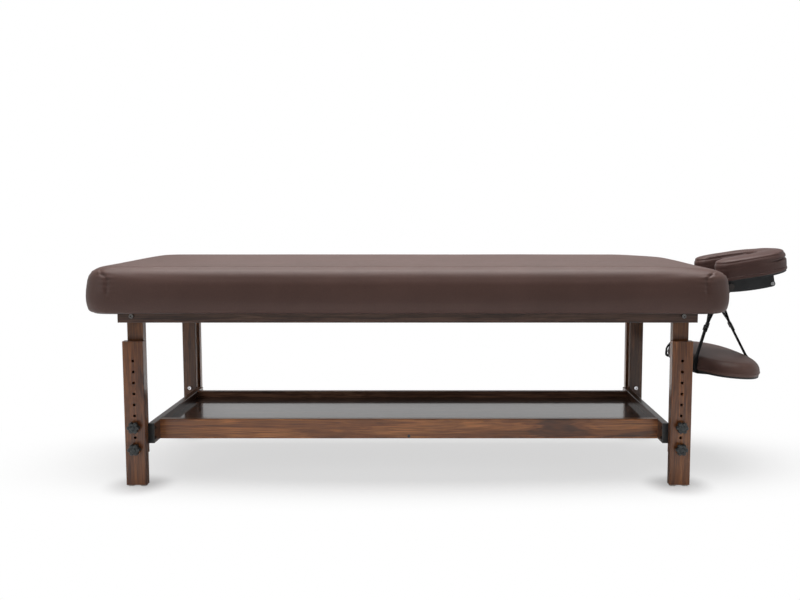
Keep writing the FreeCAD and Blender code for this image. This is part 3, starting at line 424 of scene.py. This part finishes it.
def ring_stack(name, rings, material, filled=True):
    """A form through rings of equal count: its ends are filled, or it goes round to its first ring."""
    bm = bmesh.new()
    loops = [[bm.verts.new(point) for point in ring] for ring in rings]
    count = len(rings[0])
    for below, above in zip(loops, loops[1:] if filled else loops[1:] + loops[:1]):
        for index in range(count):
            after = (index + 1) % count
            bm.faces.new((below[index], below[after], above[after], above[index]))
    if filled:
        bm.faces.new(list(reversed(loops[0])))
        bm.faces.new(loops[-1])
    bmesh.ops.triangulate(bm, faces=[face for face in bm.faces if len(face.verts) > 4])
    bmesh.ops.recalc_face_normals(bm, faces=bm.faces)
    mesh = bpy.data.meshes.new(name)
    bm.to_mesh(mesh)
    bm.free()
    return new_piece(name, mesh, material)


def rounded_outline(half_length, half_width, corner, height, turns=10):
    """Points round a rectangle with round corners."""
    points = []
    for quarter, (sign_x, sign_y) in enumerate(((1, 1), (-1, 1), (-1, -1), (1, -1))):
        centre = Vector((sign_x * (half_length - corner), sign_y * (half_width - corner), height))
        for step in range(turns + 1):
            angle = math.radians(90 * (quarter + step / turns))
            points.append(centre + Vector((math.cos(angle), math.sin(angle), 0)) * corner)
    return points


def oval_half_width(y):
    """Half the arm shelf's width at a distance along it."""
    return REST_HALF_WIDTH * (1 - (abs(y) / REST_HALF_LENGTH) ** REST_POWER) ** (1 / REST_POWER)


def oval_outline(inset, height, steps=120):
    """Points round the arm shelf's oval."""
    points = []
    for step in range(steps):
        angle = 2 * math.pi * step / steps
        turns = (math.cos(angle), math.sin(angle))
        x, y = (math.copysign(abs(turn) ** (2 / REST_POWER), turn) for turn in turns)
        points.append(Vector(((REST_HALF_WIDTH - inset) * x, (REST_HALF_LENGTH - inset) * y, height)))
    return points


def horseshoe_outline(inset, height, turns=16):
    """Points round the cradle's horseshoe, open towards the table."""
    outer = CRADLE_OUTER - inset
    inner = CRADLE_INNER + inset
    middle = (outer + inner) / 2
    tip = (outer - inner) / 2
    arcs = [
        ((0, 0), outer, -90, 180, 2 * turns),
        ((-CRADLE_LEG, middle), tip, 90, 180, turns),
        ((0, 0), inner, 90, -180, 2 * turns),
        ((-CRADLE_LEG, -middle), tip, 90, 180, turns),
    ]
    points = []
    for (x, y), radius, start, sweep, steps in arcs:
        for step in range(steps + 1):
            angle = math.radians(start + sweep * step / steps)
            points.append(Vector((x + math.cos(angle) * radius, y + math.sin(angle) * radius, height)))
    return points


def cushion_profile(thick, top_round, bottom_round, bulge, crown, crown_reach, waist=0.5):
    """Pairs of inset and height up a cushion's side, over its edge and onto its crown."""
    shoulder = thick - crown
    pairs = []
    for step in range(5):
        angle = math.radians(90 * step / 4)
        pairs.append((bulge + bottom_round * (1 - math.sin(angle)), bottom_round * (1 - math.cos(angle))))
    lower, upper = bottom_round, shoulder - top_round
    for share in (0.5 * waist, waist, 0.5 + 0.5 * waist):
        out = 1 - ((share - waist) / (waist if share < waist else 1 - waist)) ** 2
        pairs.append((bulge * (1 - out), lower + (upper - lower) * share))
    for step in range(9):
        angle = math.radians(86 * step / 8)
        inset = bulge + top_round * (1 - math.cos(angle))
        pairs.append((inset, shoulder - top_round * (1 - math.sin(angle))))
    for share in (0.3, 0.6, 1.0):
        rise = crown * (1 - (1 - share) ** 2)
        pairs.append((bulge + top_round + crown_reach * share, shoulder + rise))
    return pairs


def coordinates(mesh):
    """A mesh's points as an array."""
    points = np.empty(len(mesh.vertices) * 3)
    mesh.vertices.foreach_get("co", points)
    return points.reshape(-1, 3)


def set_coordinates(mesh, points):
    """Put an array of points back into a mesh."""
    mesh.vertices.foreach_set("co", np.ascontiguousarray(points).ravel())
    mesh.update()


def normals(mesh):
    """A mesh's point normals as an array."""
    values = np.empty(len(mesh.vertices) * 3)
    mesh.vertices.foreach_get("normal", values)
    return values.reshape(-1, 3)


def keep_evaluated(piece):
    """Make a piece's modifiers part of its mesh."""
    depsgraph = bpy.context.evaluated_depsgraph_get()
    mesh = bpy.data.meshes.new_from_object(piece.evaluated_get(depsgraph))
    piece.modifiers.clear()
    piece.data = mesh


def remesh(piece, voxel, rounds=4):
    """An even mesh over the same form."""
    modifier = piece.modifiers.new("even", "REMESH")
    modifier.mode = "VOXEL"
    modifier.voxel_size = voxel
    evened = piece.modifiers.new("calm", "SMOOTH")
    evened.factor = 0.5
    evened.iterations = rounds
    keep_evaluated(piece)


SWELL_FRAMES = 12


def inflate(piece, pressure, cap, hold_below):
    """Let the cover swell over its filling, held where it is fixed below; no point moves past the cap."""
    start = coordinates(piece.data)
    held = [int(index) for index in np.nonzero(start[:, 2] < hold_below)[0]]
    group = piece.vertex_groups.new(name="held")
    group.add(held, 1.0, "REPLACE")
    cloth = piece.modifiers.new("cover", "CLOTH")
    settings = cloth.settings
    settings.quality = 4
    settings.mass = 0.4
    settings.tension_stiffness = 18
    settings.compression_stiffness = 18
    settings.shear_stiffness = 8
    settings.bending_stiffness = 2
    settings.use_pressure = True
    settings.uniform_pressure_force = pressure
    settings.vertex_group_mass = group.name
    settings.effector_weights.gravity = 0
    cloth.point_cache.frame_start = 1
    cloth.point_cache.frame_end = SWELL_FRAMES
    for number in range(1, SWELL_FRAMES + 1):
        scene.frame_set(number)
    evaluated = piece.evaluated_get(bpy.context.evaluated_depsgraph_get())
    move = coordinates(evaluated.data) - start
    length = np.linalg.norm(move, axis=1, keepdims=True)
    move *= np.minimum(1.0, cap / np.maximum(length, 1e-9))
    piece.modifiers.clear()
    piece.vertex_groups.clear()
    scene.frame_set(1)
    set_coordinates(piece.data, start + move)


def smooth_finish(piece, levels=1):
    """Subdivision and smooth shading."""
    modifier = piece.modifiers.new("fine", "SUBSURF")
    modifier.levels = levels
    modifier.render_levels = levels
    keep_evaluated(piece)
    piece.data.shade_smooth()


def fit_to(piece, low, high):
    """Stretch a piece to a box."""
    points = coordinates(piece.data)
    start, stop = points.min(axis=0), points.max(axis=0)
    low, high = np.array(low), np.array(high)
    set_coordinates(piece.data, low + (points - start) * (high - low) / (stop - start))


def smoothstep(low, high, value):
    """0 below low, 1 above high, and smooth between."""
    share = np.clip((value - low) / (high - low), 0, 1)
    return share * share * (3 - 2 * share)


def ripple(points, scale, seed):
    """A smooth seeded field, about -1 to 1, at many points."""
    shift = Vector((seed, 2.3 * seed, -1.7 * seed))
    return np.array([noise.noise(Vector(point * scale) + shift) for point in points])


# Padded top
HEAD_FALL = 0.010
REAR_RISE = 0.005
EDGE_RIPPLE = 0.0007
BROAD_RIPPLE = 0.0005
DART_DEPTH = 0.0036
DART_WIDTH = 0.0045
PUCKER_DEPTH = 0.0012
PUCKER_WIDTH = 0.018
PUCKER_PITCH = 0.10

# Each dart's bearing from the corner's centre and its bend over the edge, in degrees
DARTS = ((2, 20), (90, -34))


def corner_darts(points):
    """Depth of the gathered darts at the top's four corners: a drawn-in seam with puckers beside it."""
    depth = np.zeros(len(points))
    height = (points[:, 2] - TOP_BOTTOM) / TOP_THICK
    upper = smoothstep(0.38, 0.50, height) * (1 - smoothstep(0.84, 0.96, height))
    for sign_x in (-1, 1):
        for sign_y in (-1, 1):
            centre = (sign_x * (TOP_HALF_LENGTH - TOP_CORNER), sign_y * (TOP_HALF_WIDTH - TOP_CORNER))
            across = (points[:, 0] - centre[0]) * sign_x
            aside = (points[:, 1] - centre[1]) * sign_y
            for turn, bend in DARTS:
                angle = np.radians(turn + bend * smoothstep(0.72, 1.0, height))
                off = across * np.sin(angle) - aside * np.cos(angle)
                ahead = across * np.cos(angle) + aside * np.sin(angle)
                here = upper * smoothstep(0.025, 0.045, ahead)
                seam = np.exp(-(off / DART_WIDTH) ** 2)
                wave = np.sin(2 * math.pi * height / PUCKER_PITCH + 3 * turn)
                pucker = np.exp(-(off / PUCKER_WIDTH) ** 2) * wave
                depth += here * (DART_DEPTH * seam + PUCKER_DEPTH * pucker)
    return depth


def dress_top(mesh):
    """Fall of the head end, rise to the rear, ripples along the edges and the corner darts."""
    points = coordinates(mesh)
    outward = normals(mesh)
    height = (points[:, 2] - TOP_BOTTOM) / TOP_THICK
    head = smoothstep(0.70, 0.94, points[:, 0])
    move = -HEAD_FALL * head * smoothstep(0.70, 1.0, height)
    move += REAR_RISE * smoothstep(-0.2, 0.25, points[:, 1]) * smoothstep(0.75, 1.0, height)
    edge = smoothstep(0.45, 0.9, height) * smoothstep(0.26, 0.33, np.abs(points[:, 1]))
    stretch = points * np.array([5.0, 9.0, 9.0])
    move += EDGE_RIPPLE * edge * ripple(stretch, 1.0, 3.1)
    move += BROAD_RIPPLE * smoothstep(0.3, 0.8, height) * ripple(points, 3.2, 8.4)
    move -= corner_darts(points)
    move *= smoothstep(0.0, 0.12, height)
    set_coordinates(mesh, points + outward * move[:, None])


top_profile = cushion_profile(
    TOP_THICK, top_round=0.046, bottom_round=0.012, bulge=0.0045, crown=0.0015, crown_reach=0.15, waist=0.42
)
top_rings = []
for inset, height in top_profile:
    top_rings.append(rounded_outline(
        TOP_HALF_LENGTH - inset, TOP_HALF_WIDTH - inset, max(TOP_CORNER - inset, 0.03), TOP_BOTTOM + height
    ))
top_cushion = ring_stack("top_cushion", top_rings, LEATHER)
remesh(top_cushion, voxel=0.008)
inflate(top_cushion, pressure=1.0, cap=0.002, hold_below=TOP_BOTTOM + 0.012)
smooth_finish(top_cushion)
fit_to(
    top_cushion, (-TOP_HALF_LENGTH, -TOP_HALF_WIDTH, TOP_BOTTOM),
    (TOP_HALF_LENGTH, TOP_HALF_WIDTH, TOP_BOTTOM + TOP_THICK),
)
dress_top(top_cushion.data)
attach(top_cushion, "frame")
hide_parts("top_cover", "top_padding", "foam_core")

# Horseshoe cushion of the face cradle
along = Vector((math.cos(CRADLE_TILT), 0, math.sin(CRADLE_TILT)))
upward = Vector((-math.sin(CRADLE_TILT), 0, math.cos(CRADLE_TILT)))
cradle_middle = CRADLE_TOE + upward * PLATFORM_RISE - along * CRADLE_BACK
cradle_place = Matrix.Translation(cradle_middle) @ Matrix.Rotation(-CRADLE_TILT, 4, "Y")
CRADLE_SWELL = 0.001
SEAM_DEPTH = 0.0055
SIDE_FOLD_DEPTH = 0.0020
CRADLE_RIPPLE = 0.0010
HEM_GAP = 0.0004


def dress_cradle(mesh):
    """The seam below the top panel and the soft folds along the cushion's sides."""
    points = coordinates(mesh)
    outward = normals(mesh)
    height = (points[:, 2] - CRADLE_SEAT) / CRADLE_THICK
    side = 1 - smoothstep(0.55, 0.9, np.abs(outward[:, 2]))
    towards_head = smoothstep(0.02, 0.10, points[:, 0])
    seam_height = 0.52 + 0.03 * ripple(points, 9.0, 5.2)
    seam = np.exp(-((height - seam_height) / 0.045) ** 2) * (0.15 + 0.85 * towards_head)
    fold_height = 0.80 + 0.05 * ripple(points, 8.0, 1.7)
    fold = np.exp(-((height - fold_height) / 0.06) ** 2)
    move = -SEAM_DEPTH * seam * side - SIDE_FOLD_DEPTH * fold * side
    move += CRADLE_RIPPLE * smoothstep(0.2, 0.6, height) * ripple(points, 22.0, 6.6)
    move *= smoothstep(0.02, 0.15, height)
    set_coordinates(mesh, points + outward * move[:, None])


def add_hem(mesh):
    """The cover's edge, drawn down over the platform's rim; its section is pairs of inset and height."""
    inner = PLATFORM_INSET - HEM_GAP
    section = [(inner, CRADLE_SEAT + 0.004), (inner, 0.0066), (0.0022, 0.0058), (0.0008, 0.0068)]
    section += [(0.0004, CRADLE_SEAT), (0.0016, CRADLE_SEAT + 0.006)]
    rings = [horseshoe_outline(inset, height) for inset, height in section]
    hem = ring_stack("hem", rings, CRADLE_LEATHER, filled=False)
    both = bmesh.new()
    both.from_mesh(mesh)
    both.from_mesh(hem.data)
    both.to_mesh(mesh)
    both.free()
    bpy.data.objects.remove(hem)


cradle_profile = cushion_profile(
    CRADLE_THICK - CRADLE_SWELL, top_round=0.013, bottom_round=0.006, bulge=0.002, crown=0.003,
    crown_reach=0.020,
)
cradle_rings = []
for inset, height in cradle_profile:
    inward = inset + CRADLE_SWELL * smoothstep(0.0, 0.02, height)
    cradle_rings.append(horseshoe_outline(inward, CRADLE_SEAT + height))
cradle_cushion = ring_stack("cradle_pad", cradle_rings, CRADLE_LEATHER)
remesh(cradle_cushion, voxel=0.004, rounds=2)
inflate(cradle_cushion, pressure=1.5, cap=0.002, hold_below=CRADLE_SEAT + 0.006)
smooth_finish(cradle_cushion)
fit_to(
    cradle_cushion, (-CRADLE_LEG - (CRADLE_OUTER - CRADLE_INNER) / 2, -CRADLE_OUTER, CRADLE_SEAT),
    (CRADLE_OUTER, CRADLE_OUTER, CRADLE_SEAT + CRADLE_THICK),
)
dress_cradle(cradle_cushion.data)
add_hem(cradle_cushion.data)
cradle_cushion.data.shade_smooth()
cradle_cushion.data.transform(cradle_place)
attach(cradle_cushion, "cradle_head")
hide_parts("cradle_cushion")

# Pad of the hanging arm shelf
rest_middle = BAR - Vector((0, 0, REST_DROP))
rest_turn = Matrix.Rotation(REST_TILT, 4, "Y")
rest_place = Matrix.Translation(rest_middle) @ rest_turn
REST_UNDERSIDE = 0.0006
REST_RIPPLE = 0.0006


def dress_rest(mesh):
    """Gentle unevenness of the foam under the pad's cover."""
    points = coordinates(mesh)
    outward = normals(mesh)
    move = REST_RIPPLE * smoothstep(0.010, 0.025, points[:, 2]) * ripple(points, 7.0, 4.4)
    set_coordinates(mesh, points + outward * move[:, None])


rest_profile = cushion_profile(
    REST_BOARD + REST_THICK - REST_UNDERSIDE, top_round=0.030, bottom_round=0.010, bulge=0.0015,
    crown=0.003, crown_reach=0.084,
)
rest_rings = []
for inset, height in rest_profile:
    rest_rings.append(oval_outline(inset, REST_UNDERSIDE + height))
rest_cushion = ring_stack("rest_cushion", rest_rings, REST_LEATHER)
smooth_finish(rest_cushion, levels=2)
fit_to(
    rest_cushion, (-REST_HALF_WIDTH, -REST_HALF_LENGTH, REST_UNDERSIDE),
    (REST_HALF_WIDTH, REST_HALF_LENGTH, REST_BOARD + REST_THICK),
)
dress_rest(rest_cushion.data)
rest_cushion.data.transform(rest_place)
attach(rest_cushion, "arm_shelf")
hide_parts("rest_pad")


# Webbing straps
FOLD = 0.004
FOLD_END = 7
STRAND_STEPS = 16
TURN_STEPS = 24
LEVEL = Vector((0, 1, 0))
RING = BAR_RADIUS + STRAP_RING_GAP + STRAP_THICK / 2
TAIL_SHARE = 0.56


def swept_strap(name, line, middles, crossings, outer):
    """A woven tape along points, folded thicker at its start; each crossing is the way its width runs."""
    shares = ((-0.5, 0.0), (-0.47, 0.5), (0.47, 0.5), (0.5, 0.0), (0.47, -0.5), (-0.47, -0.5))
    section = [(across * STRAP_WIDTH, lift * STRAP_THICK) for across, lift in shares]
    bm = bmesh.new()
    uv_layer = bm.loops.layers.uv.new("tape")
    rows = []
    lengths = [0.0]
    for before, after in zip(line, line[1:]):
        lengths.append(lengths[-1] + (after - before).length)
    for index, (point, middle, crossing) in enumerate(zip(line, middles, crossings)):
        run = (line[min(index + 1, len(line) - 1)] - line[max(index - 1, 0)]).normalized()
        normal = Vector((-run.z, 0, run.x)) * outer
        fold = FOLD * (1 - smoothstep(FOLD_END - 2, FOLD_END, index))
        row = []
        for across, lift in section:
            out = lift + fold * (lift / STRAP_THICK + 0.5)
            row.append(bm.verts.new(point + Vector((0, middle, 0)) + crossing * across + normal * out))
        rows.append(row)
    count = len(section)
    for index in range(len(rows) - 1):
        for step in range(count):
            after = (step + 1) % count
            corners = (rows[index][step], rows[index][after], rows[index + 1][after], rows[index + 1][step])
            face = bm.faces.new(corners)
            face.smooth = True
            spots = (
                (section[step][0], lengths[index]), (section[after][0], lengths[index]),
                (section[after][0], lengths[index + 1]), (section[step][0], lengths[index + 1]),
            )
            for loop, spot in zip(face.loops, spots):
                loop[uv_layer].uv = spot
    bm.faces.new(list(reversed(rows[0])))
    bm.faces.new(rows[-1])
    bmesh.ops.recalc_face_normals(bm, faces=bm.faces)
    mesh = bpy.data.meshes.new(name)
    bm.to_mesh(mesh)
    bm.free()
    return new_piece(name, mesh, WEBBING)


def pad_route(lean, foot_y):
    """The strap's points at the arm shelf's edge, from its outer side to under the board."""
    edge = oval_half_width(foot_y) + STRAP_PAD_GAP + STRAP_THICK / 2
    under = -STRAP_THICK / 2
    local = [
        (edge, REST_BOARD + STRAP_MEET_HEIGHT), (edge, 0.004), (edge - 0.001, 0.0012),
        (edge - 0.004, under), (edge - STRAP_TUCK, under),
    ]
    return [rest_place @ Vector((lean * x, 0, z)) for x, z in local]


def loop_turn(joint):
    """The strap's turn over the crossbar, from one strand's touching point to the other's."""
    reach = joint - BAR
    heading = math.atan2(reach.z, reach.x)
    opening = math.acos(RING / reach.length)
    points = []
    for step in range(TURN_STEPS + 1):
        bearing = heading + opening + (2 * math.pi - 2 * opening) * step / TURN_STEPS
        points.append(BAR + Vector((math.cos(bearing), 0, math.sin(bearing))) * RING)
    return points


def strap_line(lean, top_y, foot_y):
    """A strap from its tuck under the board, up through the buckle, over the crossbar and back to it."""
    pad = pad_route(lean, foot_y)
    run = pad[0] - BAR
    joint = BAR + run * BUCKLE_SHARES[0]
    aside = Vector((-run.z, 0, run.x)).normalized() * (1.08 * STRAP_THICK)
    slant = lean * (oval_half_width(foot_y + STRAP_WIDTH / 2) - oval_half_width(foot_y - STRAP_WIDTH / 2))
    along_edge = rest_turn.to_3x3() @ Vector((slant / STRAP_WIDTH, 1, 0))
    turn = loop_turn(joint)
    line = list(reversed(pad))[:-1]
    middles = [foot_y] * len(line)
    crossings = [along_edge] * len(line)
    for step in range(STRAND_STEPS + 1):
        share = 1 - (1 - BUCKLE_SHARES[0]) * step / STRAND_STEPS
        line.append(BAR + run * share)
        middles.append(top_y + (foot_y - top_y) * share)
        crossings.append(along_edge.lerp(LEVEL, smoothstep(0, 0.25, step / STRAND_STEPS)))
    joint_y = middles[-1]
    for step in range(1, STRAND_STEPS):
        share = step / STRAND_STEPS
        line.append(joint.lerp(turn[0], share))
        middles.append(joint_y + (top_y - joint_y) * share)
    line += turn
    middles += [top_y] * len(turn)
    back = joint + aside
    for step in range(1, STRAND_STEPS + 1):
        share = step / STRAND_STEPS
        line.append(turn[-1].lerp(back, share))
        middles.append(top_y + (joint_y - top_y) * share)
    line.append(BAR + run * TAIL_SHARE + aside)
    middles.append(top_y + (foot_y - top_y) * TAIL_SHARE)
    crossings += [LEVEL] * (len(line) - len(crossings))
    return line, middles, crossings


# Slider buckles
BUCKLE_END_BAR = 0.004
BUCKLE_MIDDLE_BAR = 0.0036
BUCKLE_SIDE_BAR = 0.003
BUCKLE_EDGE = 0.0011


def slider_buckle(name, centre, run, height):
    """A moulded three-bar slider lying on its strap."""
    bm = bmesh.new()
    side, end, middle = BUCKLE_WIDTH / 2, height / 2, BUCKLE_MIDDLE_BAR / 2
    bars = [
        (-side, side, -end, -end + BUCKLE_END_BAR),
        (-side, side, -middle, middle),
        (-side, side, end - BUCKLE_END_BAR, end),
        (-side, -side + BUCKLE_SIDE_BAR, -end, end),
        (side - BUCKLE_SIDE_BAR, side, -end, end),
    ]
    for low_u, high_u, low_v, high_v in bars:
        made = bmesh.ops.create_cube(bm, size=1.0)["verts"]
        for vert in made:
            vert.co.x = low_u if vert.co.x < 0 else high_u
            vert.co.y = low_v if vert.co.y < 0 else high_v
            vert.co.z *= BUCKLE_THICK
    mesh = bpy.data.meshes.new(name)
    bm.to_mesh(mesh)
    bm.free()
    piece = new_piece(name, mesh, BUCKLE_PLASTIC)
    bevel = piece.modifiers.new("soft_edges", "BEVEL")
    bevel.width = BUCKLE_EDGE
    bevel.segments = 3
    keep_evaluated(piece)
    side_way = (LEVEL - run * LEVEL.dot(run)).normalized()
    facing = side_way.cross(run)
    turn = Matrix((side_way, run, facing)).transposed().to_4x4()
    piece.data.transform(Matrix.Translation(centre) @ turn)
    piece.data.shade_smooth()
    return piece


for name, (lean, top_y, foot_y) in STRAPS.items():
    strap = swept_strap(f"strap_{name}", *strap_line(lean, top_y, foot_y), -lean)
    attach(strap, "arm_shelf")
    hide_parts("rest_straps")
    start = BAR + LEVEL * top_y
    stop = pad_route(lean, foot_y)[0] + LEVEL * foot_y
    run = stop - start
    buckle = slider_buckle(
        f"buckle_{name}", start.lerp(stop, sum(BUCKLE_SHARES) / 2), run.normalized(),
        run.length * (BUCKLE_SHARES[1] - BUCKLE_SHARES[0]),
    )
    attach(buckle, "arm_shelf")
    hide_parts("rest_buckles")

# Floor, light and camera
FLOOR = 30.0
FOOT = (0.798, 0.284, 0)
WHITE = (1, 1, 1, 1)


def floor_look():
    """Pale floor that is white to the camera away from the table and shows its shadow below it."""
    material, tree, shader = start_material("floor_white")
    shader.inputs["Base Color"].default_value = (0.78, 0.78, 0.78, 1)
    shader.inputs["Roughness"].default_value = 0.7
    shader.inputs["Specular IOR Level"].default_value = 0.2
    from_middle = vector_length(tree, "LENGTH", place_texture(tree, (0.55, 2.0, 1)))
    whitened = eased(tree, from_middle, 0.45, 1.05, 0.64, 1.0)
    quarter = add(
        tree, "ShaderNodeVectorMath", {0: place_texture(tree, (1, 1, 1))}, operation="ABSOLUTE"
    )
    from_foot = vector_length(tree, "DISTANCE", quarter.outputs["Vector"], FOOT)
    off_foot = eased(tree, from_foot, 0.03, 0.12, 0.5, 1.0)
    seen = add(tree, "ShaderNodeLightPath").outputs["Is Camera Ray"]
    share = maths(tree, "MULTIPLY", maths(tree, "MULTIPLY", whitened, off_foot), seen)
    glow = add(tree, "ShaderNodeEmission", {"Color": WHITE, "Strength": 1.0})
    mix = add(
        tree, "ShaderNodeMixShader", {0: share, 1: shader.outputs[0], 2: glow.outputs[0]}
    )
    tree.links.new(mix.outputs[0], tree.nodes["Material Output"].inputs["Surface"])
    return material


def studio_world():
    """Soft even light; the camera sees white, and glossy surfaces a low backdrop behind the table."""
    world = bpy.data.worlds.new("studio")
    world.use_nodes = True
    tree = world.node_tree
    light = tree.nodes["Background"]
    light.inputs["Color"].default_value = WHITE
    light.inputs["Strength"].default_value = 0.2
    way = add(tree, "ShaderNodeSeparateXYZ", {0: add(tree, "ShaderNodeTexCoord").outputs["Generated"]})
    behind = eased(tree, way.outputs["Y"], -0.35, 0.45, 0.08, 1.0)
    low = eased(tree, way.outputs["Z"], 0.14, 0.36, 1.0, 0.2)
    wide = eased(tree, maths(tree, "ABSOLUTE", way.outputs["X"]), 0.23, 0.33, 1.0, 0.65)
    reflected = maths(tree, "MULTIPLY", maths(tree, "MULTIPLY", behind, low), wide)
    path = add(tree, "ShaderNodeLightPath")
    strength = maths(tree, "MAXIMUM", reflected, path.outputs["Is Camera Ray"])
    backdrop = add(tree, "ShaderNodeBackground", {"Color": WHITE, "Strength": strength})
    shown = maths(tree, "MAXIMUM", path.outputs["Is Camera Ray"], path.outputs["Is Glossy Ray"])
    choose = add(
        tree, "ShaderNodeMixShader", {0: shown, 1: light.outputs[0], 2: backdrop.outputs[0]}
    )
    tree.links.new(choose.outputs[0], tree.nodes["World Output"].inputs["Surface"])
    return world


def softbox(name, place, target, size, power):
    """A large soft lamp aimed at a point."""
    data = bpy.data.lights.new(name, "AREA")
    data.shape = "RECTANGLE"
    data.size, data.size_y = size
    data.energy = power
    lamp = bpy.data.objects.new(name, data)
    scene.collection.objects.link(lamp)
    lamp.location = place
    lamp.rotation_euler = (Vector(target) - Vector(place)).to_track_quat("-Z", "Y").to_euler()


floor_mesh = bpy.data.meshes.new("floor")
floor_mesh.from_pydata(
    [(-FLOOR, -FLOOR, 0), (FLOOR, -FLOOR, 0), (FLOOR, FLOOR, 0), (-FLOOR, FLOOR, 0)], [], [(0, 1, 2, 3)]
)
floor = new_piece("floor", floor_mesh, floor_look())
scene.world = studio_world()
softbox("overhead", (0.0, 0.3, 3.2), target=(0, 0, 0.4), size=(4.0, 2.4), power=190)
softbox("front_left", (-3.2, -2.0, 1.6), target=(-0.4, 0, 0.5), size=(1.8, 1.6), power=20)
softbox("right", (3.4, -1.4, 1.6), target=(0.9, 0, 0.5), size=(1.6, 1.4), power=10)

CAMERA_PLACE = (0.07794, -2.63116, 0.79721)
CAMERA_PITCH = 4.8247
camera_data = bpy.data.cameras.new("camera")
camera_data.lens = 36.632
camera_data.sensor_width = 36.0
camera_data.shift_x = -0.04324
camera_data.shift_y = -0.02129
camera = bpy.data.objects.new("camera", camera_data)
scene.collection.objects.link(camera)
camera.location = CAMERA_PLACE
camera.rotation_euler = (math.radians(90 - CAMERA_PITCH), 0, 0)
scene.camera = camera
scene.view_settings.view_transform = "Standard"
